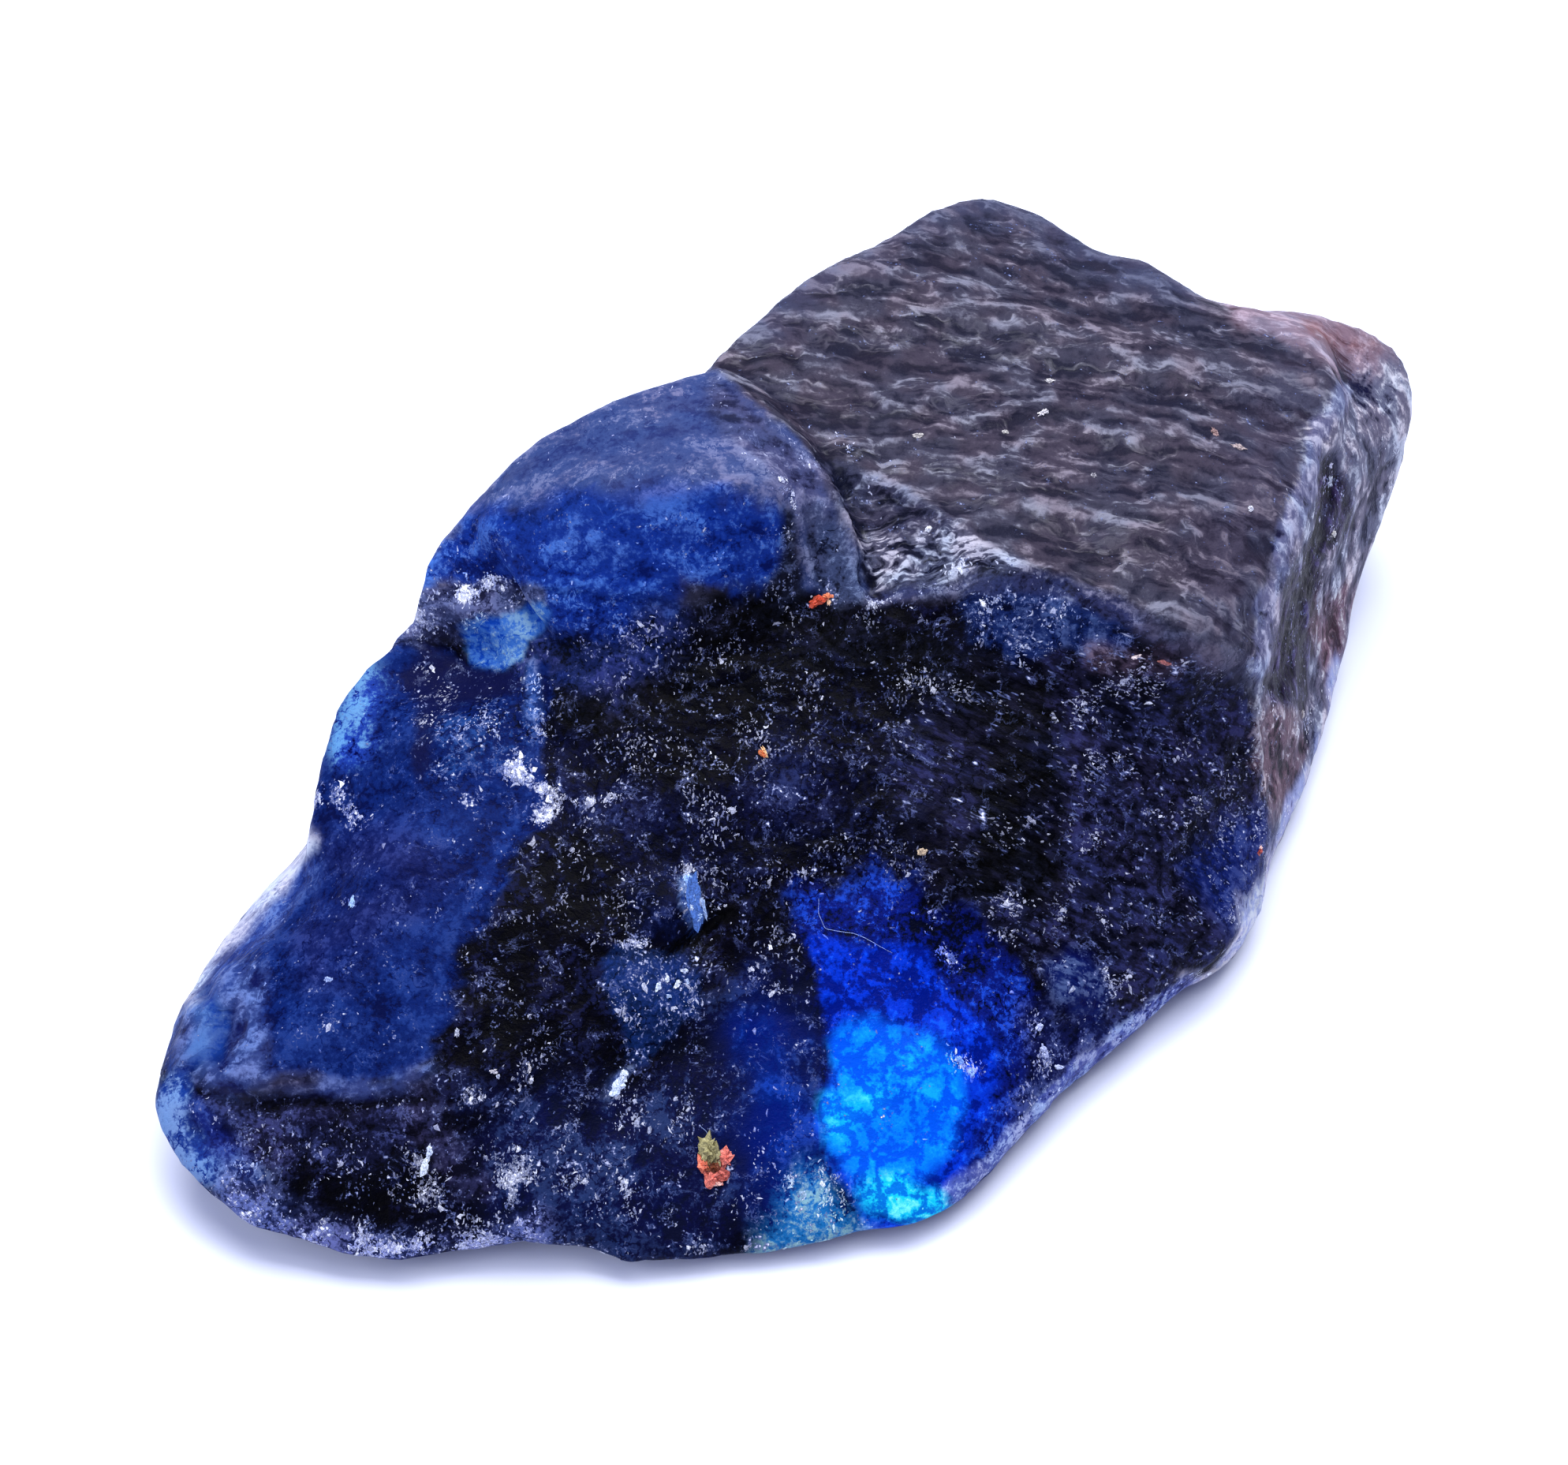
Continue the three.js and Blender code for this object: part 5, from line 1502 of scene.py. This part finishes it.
# Each grain is a ball on a grid of turns round and steps down, stretched to its own width,
# height and rise, with its radius lumped by noise and its lower half sunk in the stone.
def makeGrains(look):
    around, down = look["around"], look["down"]
    turn = 2 * math.pi * np.arange(around) / around
    fall = math.pi * (np.arange(down) + 0.5) / down
    a, d = (angles.ravel() for angles in np.meshgrid(turn, fall, indexing="ij"))
    ball = np.stack((np.cos(a) * np.sin(d), np.sin(a) * np.sin(d), np.cos(d)), axis=1)
    ball = np.concatenate((ball, [(0.0, 0.0, 1.0), (0.0, 0.0, -1.0)]))
    top, bottom = len(ball) - 2, len(ball) - 1
    index = np.arange(around * down).reshape(around, down)
    beside = np.roll(index, -1, axis=0)
    quads = np.stack((index[:, :-1], index[:, 1:], beside[:, 1:], beside[:, :-1]), axis=-1).reshape(-1, 4)
    caps = [(top, first, second) for first, second in zip(index[:, 0], beside[:, 0])]
    caps += [(bottom, second, first) for first, second in zip(index[:, -1], beside[:, -1])]
    places, faces, colours = [], [], []
    for number, (place, wide, tall, rise, degrees, colour) in enumerate(strayGrains):
        centre, up, right, upward = (found[0] for found in onSkin([place]))
        lumps = 1 + look["lump"] * fractal(ball / look["lumpSize"] + 10 * number, 61, 3, 0.6)
        shape = ball * lumps[:, None] * (wide, tall, rise)
        shape[:, 2] = np.where(ball[:, 2] < 0, shape[:, 2] * look["foot"], shape[:, 2])
        angle = math.radians(degrees)
        x = shape[:, 0] * math.cos(angle) - shape[:, 1] * math.sin(angle)
        y = shape[:, 0] * math.sin(angle) + shape[:, 1] * math.cos(angle)
        places.append(centre + x[:, None] * right + y[:, None] * upward + shape[:, 2:] * up)
        faces += (quads + number * len(ball)).tolist()
        faces += [tuple(corner + number * len(ball) for corner in cap) for cap in caps]
        colours.append(np.repeat(tint(colour)[None], len(ball), axis=0))
    mesh = makeMesh("strayGrains", np.concatenate(places), faces)
    addColours(mesh, "crystalTone", np.concatenate(colours))
    return mesh


fibres = {
    "lines": [
        [(1.6, -7.7), (1.6, -8.4), (1.9, -9.1), (2.5, -9.2), (3.3, -9.3), (4.1, -9.7), (5, -10.2)],
        [(-3.5, -18.7), (-3.6, -18.5), (-3.8, -18.3), (-3.9, -18.1)],
    ],
    "radius": 0.012,  # mm
    "above": 0.005,
    "steps": 60,
    "sides": 6,
    "colour": (150, 172, 226),
}


# Two hair-thin fibres: a ring of points carried along a line on the skin. The line is
# spread into even steps, smoothed, and thinned at its ends by a power of a sine.
def makeFibres(look):
    steps, sides = look["steps"], look["sides"]
    places, faces = [], []
    turn = 2 * math.pi * np.arange(sides) / sides
    for number, line in enumerate(look["lines"]):
        knots = np.array(line, float)
        run = np.concatenate(([0], np.cumsum(np.linalg.norm(np.diff(knots, axis=0), axis=1))))
        even = np.linspace(0, run[-1], steps)
        path = np.stack([np.interp(even, run, knots[:, axis]) for axis in range(2)], axis=1)
        path[1:-1] = (path[:-2] + path[1:-1] + path[2:]) / 3
        centre, up, _, _ = onSkin(path)
        for _ in range(4):
            centre[1:-1] = (centre[:-2] + 2 * centre[1:-1] + centre[2:]) / 4
        centre = centre + up * look["above"]
        side = unit(np.cross(np.gradient(centre, axis=0), up))
        thin = look["radius"] * np.sin(math.pi * np.linspace(0.04, 0.96, steps)) ** 0.4
        ring = side[:, None] * np.cos(turn)[None, :, None] + up[:, None] * np.sin(turn)[None, :, None]
        places.append((centre[:, None] + ring * thin[:, None, None]).reshape(-1, 3))
        index = (number * steps * sides + np.arange(steps * sides)).reshape(steps, sides)
        beside = np.roll(index, -1, axis=1)
        faces += np.stack((index[:-1], index[1:], beside[1:], beside[:-1]), axis=-1).reshape(-1, 4).tolist()
        faces += [index[0].tolist(), index[-1][::-1].tolist()]
    mesh = makeMesh("fineFibres", np.concatenate(places), faces)
    mesh.shade_smooth()
    addColours(mesh, "crystalTone", np.repeat(tint(look["colour"])[None], len(mesh.vertices), axis=0))
    return mesh


for piece in (addPiece("strayGrains", makeGrains(grainGrid), makeGrainSkin("grainSkin")),
              addPiece("fineFibres", makeFibres(fibres), makeGrainSkin("fibreSkin"))):
    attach(piece, "root")
print("grains and fibres placed")

floorLook = {
    "across": 6.0,  # m
    "colour": (0.82, 0.85, 0.96),
    "cloudTone": 0.98,  # how dark its faint clouds are
    "cloudScale": 30.0,  # clouds to a metre
    "roughness": 0.8,
}


# A pale floor with a faint blue cast: one square, whose colour a noise darkens a little.
def makeFloor(look):
    material, tree, shader = newMaterial("paleFloor")
    place = addNode(tree, "ShaderNodeTexCoord").outputs["Object"]
    cloud = addNoise(tree, place, 1 / look["cloudScale"])
    low = (look["cloudTone"] * np.array(look["colour"])).tolist()
    setInputs(tree, shader, {"Base Color": addMix(tree, cloud, (*low, 1.0), (*look["colour"], 1.0)),
                             "Roughness": look["roughness"]})
    half = look["across"] / 2 / mm
    corners = np.array([(-half, -half, 0), (half, -half, 0), (half, half, 0), (-half, half, 0)])
    return addPiece("floor", makeMesh("floor", corners, [(0, 1, 2, 3)]), material)


floor = makeFloor(floorLook)
floor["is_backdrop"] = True

# Distance and size in metres, power in watts. Azimuth 0 is straight behind the stone, and
# 90 is on its right.
lights = {
    "softbox": {
        "azimuth": 10, "elevation": 69, "distance": 0.5, "size": (0.5, 0.42), "power": 4.7,
        "colour": (0.94, 0.96, 1.0),
    },
    "leftFill": {
        "azimuth": -125, "elevation": 38, "distance": 0.5, "size": (0.4, 0.4), "power": 1.2,
        "colour": (0.9, 0.94, 1.0),
    },
    "topPanel": {
        "azimuth": 120, "elevation": 70, "distance": 0.5, "size": (0.25, 0.25), "power": 0.7,
        "colour": (0.95, 0.97, 1.0),
    },
}
sky = {"colour": (0.42, 0.48, 1.0), "strength": 0.46}


# A rectangular lamp on a ball round the origin, facing it.
def addLight(name, look):
    lamp = bpy.data.lights.new(name, "AREA")
    lamp.shape = "RECTANGLE"
    lamp.size, lamp.size_y = look["size"]
    lamp.energy = look["power"]
    lamp.color = look["colour"]
    made = bpy.data.objects.new(name, lamp)
    bpy.context.scene.collection.objects.link(made)
    around, above = math.radians(look["azimuth"]), math.radians(look["elevation"])
    level = look["distance"] * math.cos(above)
    made.location = (level * math.sin(around), level * math.cos(around), look["distance"] * math.sin(above))
    made.rotation_euler = (math.pi / 2 - above, 0, math.pi - around)


for name, look in lights.items():
    addLight(name, look)
world = bpy.data.worlds.new("studio")
world.use_nodes = True
background = world.node_tree.nodes["Background"]
background.inputs["Color"].default_value = (*sky["colour"], 1.0)
background.inputs["Strength"].default_value = sky["strength"]
bpy.context.scene.world = world
bpy.context.scene.view_settings.view_transform = "Standard"

lens = bpy.data.cameras.new("camera")
lens.lens = camera["lens"]
lens.clip_start = 0.01
view = bpy.data.objects.new("camera", lens)
bpy.context.scene.collection.objects.link(view)
view.location = eye * mm
view.rotation_euler = (math.radians(90 - camera["elevation"]), 0, 0)
bpy.context.scene.camera = view

size = {"cad": [list(corner) for corner in cadBox], "visual": [list(corner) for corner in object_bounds()]}
print("scene ready")
